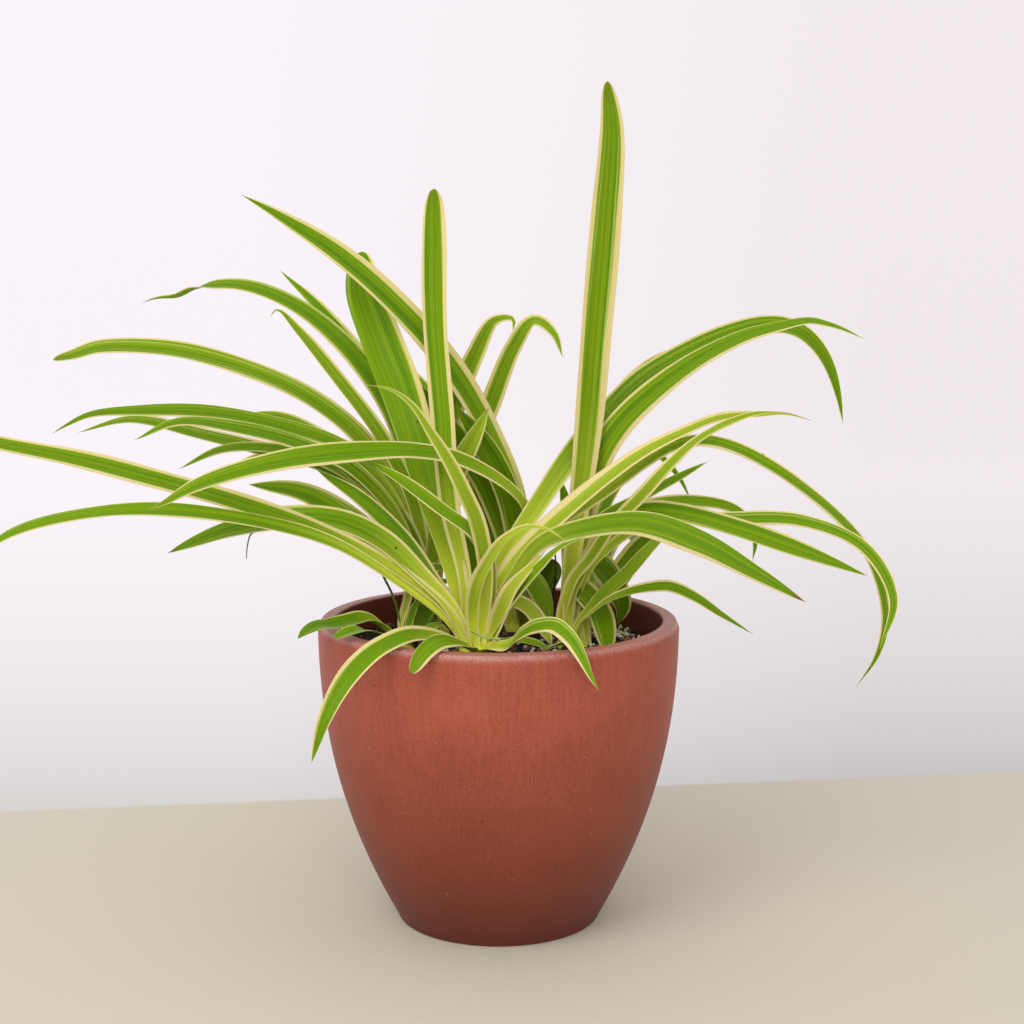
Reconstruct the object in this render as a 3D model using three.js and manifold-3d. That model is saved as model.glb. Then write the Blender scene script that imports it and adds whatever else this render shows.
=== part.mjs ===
// A variegated spider plant in a round brick-red pot, in millimetres.
// +Z is up, +Y is away from the side that is looked at, and the origin is under the middle of the pot.
// The plant is five rosettes, each one body: a short crown and the strap leaves that grew from it.
import * as THREE from "three";
import { mergeVertices } from "three/addons/utils/BufferGeometryUtils.js";
import Module from "manifold-3d";

const wasm = await Module();
wasm.setup();

// The pot, an open bowl with an egg-shaped side.
// LIP is how far in and down its edge runs from the rim's outer corner.
const POT_HEIGHT = 127;
const RIM_RADIUS = 75;
const FOOT_RADIUS = 42;
const FOOT_EDGE = 1.5;
const SIDE_CURVE = 2.2;
const SIDE_HEIGHTS = [FOOT_EDGE, 12, 26, 42, 60, 80, 102, 120];
const WALL = 7;
const FLOOR = 7;
const CORNER = 2;
const LIP = [[0, 4], [1, 1], [2.5, 0], [WALL - 1, 0], [WALL, 1]];
const POT_SIDES = 44;

// The potting mix, which fills the pot to a little under its rim.
// Each of its waves has a height, how fast it runs along X and along Y, and where it starts.
const SOIL_LEVEL = 114;
const SOIL_RINGS = 7;
const SOIL_ROUGHNESS = 1.1;
const SOIL_EDGE = 8;
const SOIL_WAVES = [[0.4, 0.31, -0.12, 1.3], [0.3, 0.09, 0.27, 4.1], [0.3, 0.63, 0.71, 2.1]];
const FIT_GAP = 0.3;
const CHORD_GAP = 0.15;

// The crowns and the leaves.
const CROWN_RADIUS = 8.5;
const CROWN_DEPTH = 12;
const CROWN_TOP = 5;
const CROWN_ROUND = 3;
const CROWN_SIDES = 12;
const ROOT_SPREAD = 4.5;
const ROOT_RISE = 1.5;
const BLADE_THICKNESS = 0.8;
const TIP_WIDTH = 1.2;

// A blade tapers from TAPER_FROM to its tip. PLAIN_SHAPE is for a leaf that gives no shape of its own.
const TAPER_FROM = 0.4;
const PLAIN_SHAPE = { tip: 4.2, base: 0.6, widest: 0.5, turn: [0, 0, 1] };

// The channel that the blade is folded into opens out towards its tip.
const BASE_FOLD = 38;
const TIP_FOLD = 16;
const OPEN_AT = 0.6;

// The blade's sections: one for so much length, so much bend, and so much of its width lost.
const STATION_STEP = 70;
const STATION_BEND = THREE.MathUtils.degToRad(30);
const STATION_TAPER = 0.7;
const FEWEST_STATIONS = 5;
const CURVE_SAMPLES = 120;

const FINISHES = {
  pot: { color: 0xa0503f, roughness: 0.6 },
  soil: { color: 0x33261d, roughness: 0.95 },
  leaf: { color: 0x6f9a2b, roughness: 0.5 },
};

/** One leaf: its widest width, how far back its middle and tip lie, where its upper face looks
 * (azimuth and height in degrees), and its points across and up as seen from the front.
 * Its shape may say how blunt its tip is, how narrow its base is, how far along it is widest, and how far
 * it turns about its own length, in degrees, from one fraction of that length to another. */
function leaf(name, width, back, faces, points, shape = {}) {
  return { name, width, back, faces, points, ...PLAIN_SHAPE, ...shape };
}

const ROSETTES = {
  rosette_front: {
    crown: [-9, -6],
    leaves: [
      leaf("long_left_upper", 10.5, [-25, -50], [270, 50],
        [[-20, 130], [-40, 148], [-72, 166], [-103, 178], [-133, 188], [-163, 197], [-192, 204],
         [-210, 209]], { tip: 6 }),
      leaf("long_left_lower", 7.5, [-35, -80], [270, 50],
        [[-21, 127], [-40, 144], [-64, 161], [-94, 172], [-124, 178], [-152, 179], [-179, 174],
         [-196, 164]], { tip: 5 }),
      leaf("left_brown_tip", 12.5, [-10, -6], [270, 50],
        [[-19, 131], [-32, 146], [-48, 161], [-65, 169], [-85, 170], [-110, 165], [-129, 158],
         [-136, 155]], { tip: 5 }),
      leaf("left_broad", 13, [0, 6], [270, 50],
        [[-19, 128], [-33, 141], [-49, 157], [-66, 171], [-82, 179], [-104, 182]]),
      leaf("left_short", 9, [0, 4], [270, 50],
        [[-18, 130], [-28, 143], [-41, 161], [-57, 176], [-75, 188]]),
      leaf("front_rib", 7, [-22, -26], [270, 50],
        [[-3, 141], [-7, 162], [-23, 176], [-39, 188], [-53, 196]]),
      leaf("broad_back_left", 18, [9, 32], [270, 10],
        [[-14, 130], [-20, 154], [-28, 180], [-40, 219], [-49, 241], [-57, 263],
         [-58, 278]], { tip: 8, base: 0.5, widest: 0.65 }),
      leaf("blunt_upright", 10.5, [2, 3], [270, 5],
        [[-14, 144], [-20, 173], [-23, 210], [-26, 250], [-26, 282], [-26, 303]], { tip: 14 }),
      leaf("pale_right", 9.5, [-22, -8], [270, 50],
        [[-6, 129], [-2, 141], [6, 153], [17, 165], [31, 178], [43, 188], [57, 198], [73, 206], [89, 212],
         [105, 213], [116, 213],
         [127, 210]], { tip: 1.2, base: 0.75, widest: 0.3, turn: [55, 0.72, 0.9] }),
      leaf("front_hook", 6.5, [-30, -48], [280, 35],
        [[-11, 133], [-9, 145], [-4, 156], [2, 165], [11, 171], [18, 171], [24, 168],
         [28, 165]], { tip: 1, base: 0.9, widest: 0.3 }),
      leaf("right_far_hanging", 7.5, [-14, 30], [270, 50],
        [[0, 139], [17, 162], [41, 180], [73, 201], [90, 201], [123, 183], [151, 157], [164, 126],
         [163, 106], [156, 90]], { tip: 3, base: 0.7 }),
      leaf("right_front_arch", 14.5, [-42, -82], [270, 50],
        [[-1, 133], [7, 148], [17, 162], [32, 169], [55, 173], [77, 167], [98, 157],
         [114, 149]], { tip: 3.2, base: 0.35, widest: 0.62 }),
      leaf("right_small", 7, [-32, -46], [270, 50],
        [[-2, 124], [4, 137], [10, 146], [17, 155], [24, 163],
         [34, 168]], { tip: 1.8, base: 0.7, widest: 0.4 }),
      leaf("right_inner", 8.5, [-28, -36], [270, 40],
        [[-3, 122], [1, 134], [5, 144], [12, 153], [19, 161]], { tip: 1.6, base: 0.85, widest: 0.3 }),
      leaf("front_bowed", 7.5, [-30, -48], [270, 20],
        [[-5, 148], [-8, 170], [-13, 183], [-19, 196], [-26, 208], [-33, 219], [-41, 225],
         [-50, 227]], { tip: 1.4, base: 0.8, widest: 0.3 }),
      leaf("spear_high", 5.5, [-20, -20], [270, 50],
        [[-3, 141], [-4, 153], [-9, 163], [-19, 173], [-28, 180], [-41, 188], [-55, 195]], { tip: 3 }),
      leaf("inner_dip", 8, [-8, -14], [270, 50],
        [[0, 128], [6, 135], [12, 133], [17, 127], [22, 118]]),
      leaf("bends_down", 12, [11, 45], [270, 32],
        [[-5, 135], [4, 155], [17, 175], [32, 196], [46, 211], [61, 225], [84, 238], [99, 244],
         [111, 247], [121, 247], [129, 244], [136, 238], [142, 229], [147, 216], [150, 204]], { tip: 3 }),
      leaf("over_rim_right", 8.5, [-57, -80], [225, 45],
        [[-3, 119], [4, 122], [9, 129], [15, 134], [22, 136], [28, 132], [32, 126], [35, 120],
         [38, 115]], { tip: 2.6, base: 0.6 }),
      leaf("over_rim_left", 8.5, [-70, -86], [310, 50],
        [[-17, 122], [-25, 128], [-34, 131], [-41, 130], [-48, 127], [-55, 121], [-60, 114], [-65, 103],
         [-69, 89]]),
      leaf("over_rim_short", 8, [-58, -77], [300, 55],
        [[-13, 124], [-18, 129], [-23, 130], [-28, 127], [-32, 121]], { tip: 7 }),
      leaf("low_sprig", 5, [-24, -34], [270, 60],
        [[-1, 120], [4, 122], [10, 123], [17, 122], [21, 120]]),
    ],
  },
  rosette_right: {
    crown: [31, 4],
    leaves: [
      leaf("back_tip", 7, [17, 20], [270, 20],
        [[30, 148], [29, 163], [28, 174], [26, 183]]),
      leaf("tallest", 13, [-6, -12], [270, 8],
        [[29, 134], [30, 147], [31, 157], [33, 172], [37, 210], [40, 250], [43, 290], [45, 325],
         [43, 344]], { tip: 6 }),
      leaf("right_slender", 7.5, [-20, -50], [270, 50],
        [[26, 125], [28, 135], [31, 144], [38, 154], [46, 167], [57, 180], [69, 195], [79, 205],
         [92, 213], [101, 216],
         [112, 216]], { tip: 1.8, base: 0.75, widest: 0.35, turn: [50, 0.75, 0.9] }),
      leaf("right_hanging", 7.5, [-6, -30], [270, 50],
        [[33, 134], [38, 147], [47, 157], [59, 165], [75, 168], [95, 169], [123, 169], [148, 159],
         [159, 139], [153, 120]], { base: 0.5 }),
      leaf("right_level", 11, [-16, -26], [270, 50],
        [[29, 132], [33, 145], [39, 156], [46, 165], [58, 173], [73, 173], [97, 167], [121, 159],
         [148, 149]], { base: 0.45 }),
      leaf("right_bent_down", 9, [12, 4], [270, 50],
        [[34, 137], [39, 151], [49, 164], [64, 172], [84, 174], [100, 170], [107, 159],
         [106, 150]], { tip: 2.6 }),
      leaf("right_threadlike", 6, [40, 56], [270, 50],
        [[35, 131], [40, 154], [53, 179], [69, 189], [79, 180], [86, 167]], { tip: 2.4 }),
      leaf("right_dark", 6.5, [30, 46], [270, 50],
        [[31, 131], [35, 149], [44, 163], [59, 171], [75, 179], [91, 187]]),
      leaf("long_right", 14, [-8, -60], [270, 45],
        [[34, 155], [39, 187], [50, 208], [73, 230], [95, 244], [110, 249], [119, 251], [125, 250],
         [131, 248], [137, 245]], { tip: 1.8, widest: 0.4 }),
      leaf("dips_into_pot", 10.5, [2, -14], [250, 40],
        [[31, 134], [34, 138], [38, 135], [42, 130], [44, 124],
         [45, 116]], { tip: 6, base: 0.6, widest: 0.4 }),
      leaf("dips_behind", 12, [16, 20], [250, 35],
        [[32, 130], [33, 140], [36, 147], [41, 147], [47, 141], [51, 134], [53, 127],
         [51, 120]], { tip: 5, base: 0.6, widest: 0.4 }),
      leaf("short_right", 6.5, [-14, -12], [270, 50],
        [[33, 124], [38, 132], [44, 140], [52, 148], [61, 158], [71, 167]], { base: 0.7 }),
      leaf("low_curl", 6, [-26, -46], [200, 60],
        [[30, 118], [25, 122], [20, 123], [17, 122]]),
      leaf("low_over_rim", 6.5, [-26, -30], [270, 50],
        [[33, 124], [38, 131], [44, 137], [51, 141], [60, 144], [69, 145], [79, 141], [88, 135],
         [102, 126]], { tip: 2.4, base: 0.35, widest: 0.7 }),
      leaf("short_back", 12, [26, 34], [270, 50],
        [[39, 124], [44, 131], [52, 140], [60, 150], [66, 156], [71, 160]], { tip: 5, base: 0.5 }),
      leaf("behind_tallest", 10, [50, 100], [270, 20],
        [[36, 150], [40, 185], [43, 220], [45, 245]]),
      leaf("back_arch_right", 14, [62, 112], [270, 50],
        [[34, 150], [42, 185], [54, 209], [72, 226], [90, 233], [106, 234]]),
      leaf("low_back_right", 13, [56, 118], [60, 70],
        [[40, 135], [50, 150], [60, 152], [66, 143], [68, 130]]),
    ],
  },
  rosette_left: {
    crown: [-29, 30],
    leaves: [
      leaf("left_high", 10.5, [42, 62], [270, 50],
        [[-34, 163], [-41, 195], [-51, 217], [-67, 238], [-87, 254], [-109, 263], [-124, 264],
         [-135, 262], [-142, 259], [-151, 258], [-158, 256]], { tip: 3, turn: [75, 0.84, 0.92] }),
      leaf("left_long", 11, [24, 0], [270, 50],
        [[-35, 146], [-43, 172], [-57, 197], [-76, 214], [-100, 227], [-133, 237], [-164, 239],
         [-174, 236], [-182, 234]], { tip: 6 }),
      leaf("left_middle", 8.5, [10, -25], [270, 50],
        [[-37, 147], [-45, 173], [-63, 195], [-83, 204], [-114, 212], [-145, 214], [-163, 213],
         [-172, 209], [-177, 206]]),
      leaf("left_thin_back", 8, [34, 45], [270, 50],
        [[-34, 142], [-47, 166], [-73, 185], [-103, 194], [-129, 200], [-160, 206], [-184, 200]]),
      leaf("left_middle_front", 9, [6, -40], [270, 50],
        [[-36, 140], [-44, 167], [-62, 189], [-82, 200], [-104, 207], [-126, 211], [-141, 205]]),
      leaf("left_low_thin", 7.5, [30, 28], [270, 50],
        [[-38, 146], [-53, 174], [-77, 190], [-102, 195], [-119, 194], [-137, 186]]),
      leaf("spear_low", 9, [22, 16], [270, 50],
        [[-32, 138], [-39, 160], [-50, 175], [-69, 189]]),
      leaf("hooked_tip", 7.5, [22, 14], [270, 50],
        [[-32, 149], [-38, 177], [-50, 201], [-67, 225], [-83, 245], [-92, 254], [-95, 251]]),
      leaf("back_edge", 8.5, [50, 80], [270, 50],
        [[-33, 158], [-42, 196], [-57, 226], [-80, 253], [-99, 270]]),
      leaf("bent_small", 10, [36, 18], [285, 30],
        [[-30, 145], [-27, 180], [-19, 213], [-10, 235], [-2, 249], [6, 250], [6, 245]], { tip: 4.5 }),
      leaf("bent_large", 9.5, [42, 24], [270, 35],
        [[-26, 149], [-16, 182], [-4, 212], [6, 237], [15, 249], [23, 244], [27, 234]], { tip: 4.5 }),
      leaf("leans_right", 10.5, [18, 8], [300, 30],
        [[-30, 138], [-26, 161], [-18, 186], [-10, 202], [-4, 214]], { tip: 4.5 }),
      leaf("curl_upper", 7, [20, 16], [270, 40],
        [[-29, 125], [-29, 135], [-30, 143], [-26, 145], [-22, 144]]),
      leaf("curl_lower", 6, [18, 14], [270, 40],
        [[-28, 126], [-27, 135], [-24, 139], [-20, 140]]),
      leaf("back_arch_left", 14, [64, 112], [270, 50],
        [[-38, 155], [-58, 182], [-82, 193], [-104, 201], [-122, 201], [-136, 199]]),
      leaf("low_back_left", 13, [66, 98], [270, 60],
        [[-40, 150], [-62, 178], [-93, 187], [-120, 180], [-140, 165]]),
    ],
  },
  rosette_back: {
    crown: [10, 38],
    leaves: [
      leaf("sweeps_left", 10.5, [-13, -72], [270, 35],
        [[15, 147], [10, 174], [-12, 192], [-32, 198], [-55, 199], [-85, 197], [-113, 190], [-125, 184],
         [-130, 182]], { tip: 5, base: 0.3, widest: 0.8 }),
      leaf("high_left", 12.5, [20, -10], [270, 35],
        [[11, 141], [8, 172], [-4, 202], [-20, 230], [-41, 255], [-65, 277], [-88, 292],
         [-102, 300]], { base: 0.5, widest: 0.6 }),
      leaf("dark_left", 13, [34, 24], [240, 20],
        [[5, 149], [-6, 181], [-19, 200], [-33, 222]]),
      leaf("dark_broad", 18, [52, 58], [265, 15],
        [[8, 130], [2, 149], [-6, 173], [-14, 195]]),
      leaf("dark_low", 13, [38, 28], [255, 20],
        [[2, 126], [-8, 140], [-16, 155], [-21, 167]]),
      leaf("dark_middle", 12, [24, 14], [250, 20],
        [[9, 142], [5, 173], [-6, 197], [-18, 214]]),
      leaf("curled_dark", 12, [32, 27], [270, 10],
        [[15, 127], [19, 136], [22, 142], [23, 147]], { tip: 6, base: 0.8 }),
      leaf("inner_short", 10, [10, -2], [270, 50],
        [[9, 132], [13, 142], [18, 135], [22, 123]]),
      leaf("low_back_middle", 14, [92, 142], [90, 70],
        [[8, 145], [4, 160], [0, 158], [-4, 135], [-6, 112]]),
      leaf("low_back_inner", 13, [86, 132], [110, 70],
        [[16, 145], [26, 158], [38, 155], [48, 138], [54, 120]]),
      leaf("back_leaning_left", 13, [80, 112], [270, 30],
        [[2, 150], [-14, 185], [-34, 212], [-50, 230]]),
    ],
  },
  rosette_small: {
    crown: [-43, 0],
    leaves: [
      leaf("small_over_rim", 10, [-20, -48], [262, 62],
        [[-45, 121], [-49, 127], [-54, 130], [-60, 130], [-66, 130], [-71, 131], [-75, 130], [-78, 128]]),
      leaf("small_stem", 4, [4, 8], [270, 40],
        [[-41, 123], [-38, 135], [-37, 148]]),
      leaf("small_stem_thin", 3.5, [2, 2], [270, 50],
        [[-38, 121], [-36, 129], [-33, 135]]),
      leaf("small_dark", 12, [8, 16], [270, 50],
        [[-37, 120], [-33, 125], [-28, 128]]),
      leaf("small_inner", 5, [-6, -8], [270, 60],
        [[-33, 120], [-28, 124], [-23, 126]]),
      leaf("small_side", 8, [-30, -52], [250, 62],
        [[-43, 120], [-49, 126], [-54, 130], [-59, 130], [-63, 129]], { tip: 6 }),
    ],
  },
};

/** A closed geometry as a manifold-3d solid. */
function solidOf(geometry) {
  const bare = new THREE.BufferGeometry().setAttribute("position", geometry.getAttribute("position"));
  if (geometry.index) bare.setIndex(geometry.index);
  const merged = mergeVertices(bare);
  return new wasm.Manifold(
    new wasm.Mesh({
      numProp: 3,
      vertProperties: merged.attributes.position.array,
      triVerts: new Uint32Array(merged.index.array),
    }),
  );
}

/** A manifold-3d solid as a geometry with flat faces. */
function geometryOf(solid) {
  const mesh = solid.getMesh();
  const geometry = new THREE.BufferGeometry();
  geometry.setAttribute("position", new THREE.BufferAttribute(new Float32Array(mesh.vertProperties), 3));
  geometry.setIndex(new THREE.BufferAttribute(new Uint32Array(mesh.triVerts), 1));
  geometry.computeVertexNormals();
  return geometry;
}

/** A profile of [radius, height] pairs turned round the Z axis. */
function turned(profile, sides) {
  const lathe = new THREE.LatheGeometry(profile.map(([r, z]) => new THREE.Vector2(r, z)), sides);
  return lathe.rotateX(Math.PI / 2);
}

/** The pot's outer radius at a height: upright at the rim, and curving in ever faster to the foot. */
function potRadius(z) {
  return RIM_RADIUS - (RIM_RADIUS - FOOT_RADIUS) * (1 - z / POT_HEIGHT) ** SIDE_CURVE;
}

function potGeometry() {
  const foot = [[0, 0], [FOOT_RADIUS - FOOT_EDGE, 0]];
  const outer = SIDE_HEIGHTS.map((z) => [potRadius(z), z]);
  const lip = LIP.map(([inwards, down]) => [RIM_RADIUS - inwards, POT_HEIGHT - down]);
  const inner = SIDE_HEIGHTS.filter((z) => z > FLOOR + CORNER)
    .reverse()
    .map((z) => [potRadius(z) - WALL, z]);
  const floor = [[potRadius(FLOOR) - WALL - CORNER, FLOOR], [0, FLOOR]];
  return turned([...foot, ...outer, ...lip, ...inner, ...floor], POT_SIDES);
}

/** A repeatable bumpy height, in -1 to 1, for a place on the soil. */
function bump(x, y) {
  return SOIL_WAVES.reduce((sum, [height, alongX, alongY, start]) => {
    return sum + height * Math.sin(alongX * x + alongY * y + start);
  }, 0);
}

/** The soil's outer radius at a height, a little clear of the pot's faceted inside. */
function soilRadius(z) {
  return potRadius(z) - WALL - FIT_GAP - CHORD_GAP;
}

function soilSolid() {
  const top = soilRadius(SOIL_LEVEL);
  const surface = Array.from({ length: SOIL_RINGS }, (_, i) => [(top * i) / SOIL_RINGS, SOIL_LEVEL]);
  const heights = SIDE_HEIGHTS.filter((z) => z > FLOOR + CORNER && z < SOIL_LEVEL).reverse();
  const side = [SOIL_LEVEL, ...heights].map((z) => [soilRadius(z), z]);
  const floor = FLOOR + FIT_GAP;
  const foot = [[soilRadius(FLOOR) - CORNER, floor], [0, floor]];
  const body = turned([...surface, ...side, ...foot].reverse(), POT_SIDES);
  const place = body.getAttribute("position");
  for (let i = 0; i < place.count; i++) {
    const x = place.getX(i);
    const y = place.getY(i);
    const inside = Math.max(0, Math.min(1, (top - Math.hypot(x, y)) / SOIL_EDGE));
    const onTop = place.getZ(i) > SOIL_LEVEL - SOIL_ROUGHNESS;
    if (onTop) place.setZ(i, SOIL_LEVEL + SOIL_ROUGHNESS * bump(x, y) * inside);
  }
  let solid = solidOf(body);
  for (const { crown } of Object.values(ROSETTES)) {
    const bottom = SOIL_LEVEL - CROWN_DEPTH - FIT_GAP;
    const opening = SOIL_LEVEL + 2 * CROWN_TOP;
    const radius = CROWN_RADIUS + FIT_GAP;
    const hole = turned([[0, bottom], [radius, bottom], [radius, opening], [0, opening]], CROWN_SIDES);
    solid = solid.subtract(solidOf(hole.translate(crown[0], crown[1], 0)));
  }
  return solid;
}

/** The leaf's middle line in space, whose depth follows its length through both of the given depths. */
function leafCurve({ back, points }, [crownX, crownY]) {
  const flat = [[crownX, SOIL_LEVEL], ...points];
  const lengths = [0];
  for (let i = 1; i < flat.length; i++) {
    lengths.push(lengths[i - 1] + Math.hypot(flat[i][0] - flat[i - 1][0], flat[i][1] - flat[i - 1][1]));
  }
  const middle = back[0] - crownY;
  const tip = back[1] - crownY;
  const places = flat.map(([x, z], i) => {
    const along = lengths[i] / lengths.at(-1);
    const y = crownY + (4 * middle - tip) * along + (2 * tip - 4 * middle) * along ** 2;
    return new THREE.Vector3(x, y, z);
  });
  const outward = new THREE.Vector2(places[1].x - crownX, places[1].y - crownY).setLength(ROOT_SPREAD);
  places[0].set(crownX + outward.x, crownY + outward.y, SOIL_LEVEL + ROOT_RISE);
  return new THREE.CatmullRomCurve3(places, false, "centripetal");
}

/** Fractions of a curve's length for the blade's sections: closer together where it bends or narrows. */
function stationsOf(curve, row) {
  const step = curve.getLength() / CURVE_SAMPLES;
  const effort = [0];
  for (let i = 1; i <= CURVE_SAMPLES; i++) {
    const here = i / CURVE_SAMPLES;
    const before = (i - 1) / CURVE_SAMPLES;
    const bend = curve.getTangentAt(here).angleTo(curve.getTangentAt(before));
    const twist = Math.abs(twisted(here, row) - twisted(before, row));
    const narrowing = Math.abs(spread(here, row) - spread(before, row)) / STATION_TAPER;
    effort.push(effort[i - 1] + step / STATION_STEP + (bend + twist) / STATION_BEND + narrowing);
  }
  const count = Math.max(FEWEST_STATIONS, Math.round(effort.at(-1)));
  const places = [0];
  for (let i = 1; i < count; i++) {
    const goal = (effort.at(-1) * i) / count;
    const above = effort.findIndex((e) => e >= goal);
    const short = (effort[above] - goal) / (effort[above] - effort[above - 1]);
    places.push((above - short) / CURVE_SAMPLES);
  }
  return [...places, 1];
}

/** The blade's width at a fraction of its length, as a part of its widest. */
function spread(along, row) {
  const opened = row.base + (1 - row.base) * THREE.MathUtils.smoothstep(along, 0, row.widest);
  const tapered = Math.max(0, (along - TAPER_FROM) / (1 - TAPER_FROM));
  return opened * (1 - tapered ** row.tip);
}

/** How far the blade has turned about its own length, in radians. */
function twisted(along, { turn: [degrees, from, to] }) {
  return THREE.MathUtils.degToRad(degrees) * THREE.MathUtils.smoothstep(along, from, to);
}

/** How far each half of the blade is folded up from flat, in radians. */
function fold(along) {
  const opened = THREE.MathUtils.smoothstep(along, 0, OPEN_AT);
  return THREE.MathUtils.degToRad(BASE_FOLD + (TIP_FOLD - BASE_FOLD) * opened);
}

/** The triangles of a blade whose sections run round it: upper left to right, then lower right to left.
 * Both faces are split alike, and the two ends are closed. */
function bladeIndex(stations) {
  const ring = 6;
  const index = [];
  const quad = (a, b, c, d) => index.push(a, b, c, a, c, d);
  const mirrored = (a, b, c, d) => index.push(a, b, d, b, c, d);
  for (let here = 0; here < stations * ring; here += ring) {
    const next = here + ring;
    quad(here, here + 1, next + 1, next);
    mirrored(here + 1, here + 2, next + 2, next + 1);
    quad(here + 2, here + 3, next + 3, next + 2);
    quad(here + 3, here + 4, next + 4, next + 3);
    mirrored(here + 4, here + 5, next + 5, next + 4);
    quad(here + 5, here, next, next + 5);
  }
  const last = stations * ring;
  quad(0, 5, 4, 1);
  quad(1, 4, 3, 2);
  quad(last, last + 1, last + 4, last + 5);
  quad(last + 1, last + 2, last + 3, last + 4);
  return index;
}

function leafSolid(row, crown) {
  const curve = leafCurve(row, crown);
  const azimuth = THREE.MathUtils.degToRad(row.faces[0]);
  const height = THREE.MathUtils.degToRad(row.faces[1]);
  const level = Math.cos(height);
  const looks = new THREE.Vector3(Math.cos(azimuth) * level, Math.sin(azimuth) * level, Math.sin(height));
  const places = stationsOf(curve, row);
  const positions = [];
  // The fold lifts the two edges by as much as it lowers the middle.
  for (const along of places) {
    const middle = curve.getPointAt(along);
    const tangent = curve.getTangentAt(along);
    const upper = looks.clone().addScaledVector(tangent, -looks.dot(tangent)).normalize();
    upper.applyAxisAngle(tangent, twisted(along, row));
    const across = new THREE.Vector3().crossVectors(tangent, upper);
    const half = Math.max(TIP_WIDTH, row.width * spread(along, row)) / 2;
    const angle = fold(along);
    for (const face of [1, -1]) {
      for (const side of [-face, 0, face]) {
        const lift = (Math.abs(side) - 0.5) * half * Math.sin(angle) + (face * BLADE_THICKNESS) / 2;
        const point = middle.clone().addScaledVector(across, side * half * Math.cos(angle));
        positions.push(...point.addScaledVector(upper, lift).toArray());
      }
    }
  }
  const blade = new THREE.BufferGeometry();
  blade.setAttribute("position", new THREE.Float32BufferAttribute(positions, 3));
  blade.setIndex(bladeIndex(places.length - 1));
  return solidOf(blade);
}

function crownSolid([x, y]) {
  const profile = [
    [0, SOIL_LEVEL - CROWN_DEPTH],
    [CROWN_RADIUS, SOIL_LEVEL - CROWN_DEPTH],
    [CROWN_RADIUS, SOIL_LEVEL],
    [CROWN_RADIUS - CROWN_ROUND, SOIL_LEVEL + CROWN_ROUND],
    [0, SOIL_LEVEL + CROWN_TOP],
  ];
  return solidOf(turned(profile, CROWN_SIDES).translate(x, y, 0));
}

/** A crown and its leaves as one body, with any pocket that the leaves close between them filled. */
function rosetteSolid({ crown, leaves }) {
  let solid = crownSolid(crown);
  for (const row of leaves) solid = solid.add(leafSolid(row, crown));
  const bodies = solid.decompose().sort((a, b) => b.volume() - a.volume());
  return bodies[0];
}

const plant = new THREE.Group();

function addPiece(name, geometry, finish) {
  const material = new THREE.MeshStandardMaterial({ ...finish, metalness: 0 });
  const mesh = new THREE.Mesh(geometry, material);
  mesh.name = name;
  plant.add(mesh);
}

addPiece("pot", potGeometry(), FINISHES.pot);
addPiece("soil", geometryOf(soilSolid()), FINISHES.soil);
for (const [name, rosette] of Object.entries(ROSETTES)) {
  addPiece(name, geometryOf(rosetteSolid(rosette)), FINISHES.leaf);
}

export default plant;
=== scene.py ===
"""A variegated spider plant in a round brick-red pot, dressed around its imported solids.

Sizes are in millimetres and are turned to metres where a mesh is made. +Z is up and +Y is away from the
side that is looked at. The origin is under the middle of the pot.
"""

from __future__ import annotations

import logging
import math
from dataclasses import dataclass
from enum import Enum
from typing import Any, Iterable

import bpy
import numpy as np
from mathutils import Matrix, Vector, noise

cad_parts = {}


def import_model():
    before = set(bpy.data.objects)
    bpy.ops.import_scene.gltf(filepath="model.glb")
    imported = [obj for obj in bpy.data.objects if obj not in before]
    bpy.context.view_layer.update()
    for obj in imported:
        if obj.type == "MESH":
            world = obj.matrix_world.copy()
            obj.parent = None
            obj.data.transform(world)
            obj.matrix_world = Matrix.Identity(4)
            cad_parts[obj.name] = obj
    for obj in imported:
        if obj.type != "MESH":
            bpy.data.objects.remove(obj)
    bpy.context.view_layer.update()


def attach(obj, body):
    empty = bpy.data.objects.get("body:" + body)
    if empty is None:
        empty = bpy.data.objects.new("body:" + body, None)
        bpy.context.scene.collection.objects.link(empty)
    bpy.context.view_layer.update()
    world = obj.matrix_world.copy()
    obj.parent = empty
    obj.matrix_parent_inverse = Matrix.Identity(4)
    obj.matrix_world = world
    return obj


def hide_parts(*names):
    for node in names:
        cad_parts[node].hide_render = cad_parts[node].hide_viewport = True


LOG = logging.getLogger("spider_plant")
MM = 0.001
BODY = "root"

Pair = tuple[float, float]
Place = tuple[float, float, float]
Faces = list[tuple[int, ...]]

# Sizes shared with the solids.
SOIL_LEVEL = 114.0
ROOT_SPREAD = 4.5
ROOT_RISE = 1.5
TAPER_FROM = 0.4
BASE_FOLD = 38.0
TIP_FOLD = 16.0
OPEN_AT = 0.6

# A leaf's pattern is read at one of this many places, and this many of them lie in a unit of the pattern.
PATTERN_CYCLE = 977
PATTERN_STEP = 7

# The usual margins and tone of a leaf, and how far each of the three varies.
COMMON_LOOK = ((0.75, 0.08), (0.75, 0.08), (0.94, 0.09))


def linear(code: str) -> tuple[float, float, float, float]:
    """Turn an sRGB hex colour into linear values.

    Args:
        code: six hex digits, with or without a leading hash.

    Returns:
        Linear red, green, blue and an alpha of 1.
    """
    digits = code.lstrip("#")
    values = [int(digits[i : i + 2], 16) / 255 for i in (0, 2, 4)]
    flat = [v / 12.92 if v <= 0.04045 else ((v + 0.055) / 1.055) ** 2.4 for v in values]
    return (flat[0], flat[1], flat[2], 1.0)


def smooth(value: np.ndarray, low: float, high: float) -> np.ndarray:
    """Ease from 0 at one value to 1 at another.

    Args:
        value: where to read the curve.
        low: where it leaves 0.
        high: where it reaches 1.

    Returns:
        The eased values.
    """
    t = np.clip((value - low) / (high - low), 0.0, 1.0)
    return t * t * (3 - 2 * t)


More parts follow.
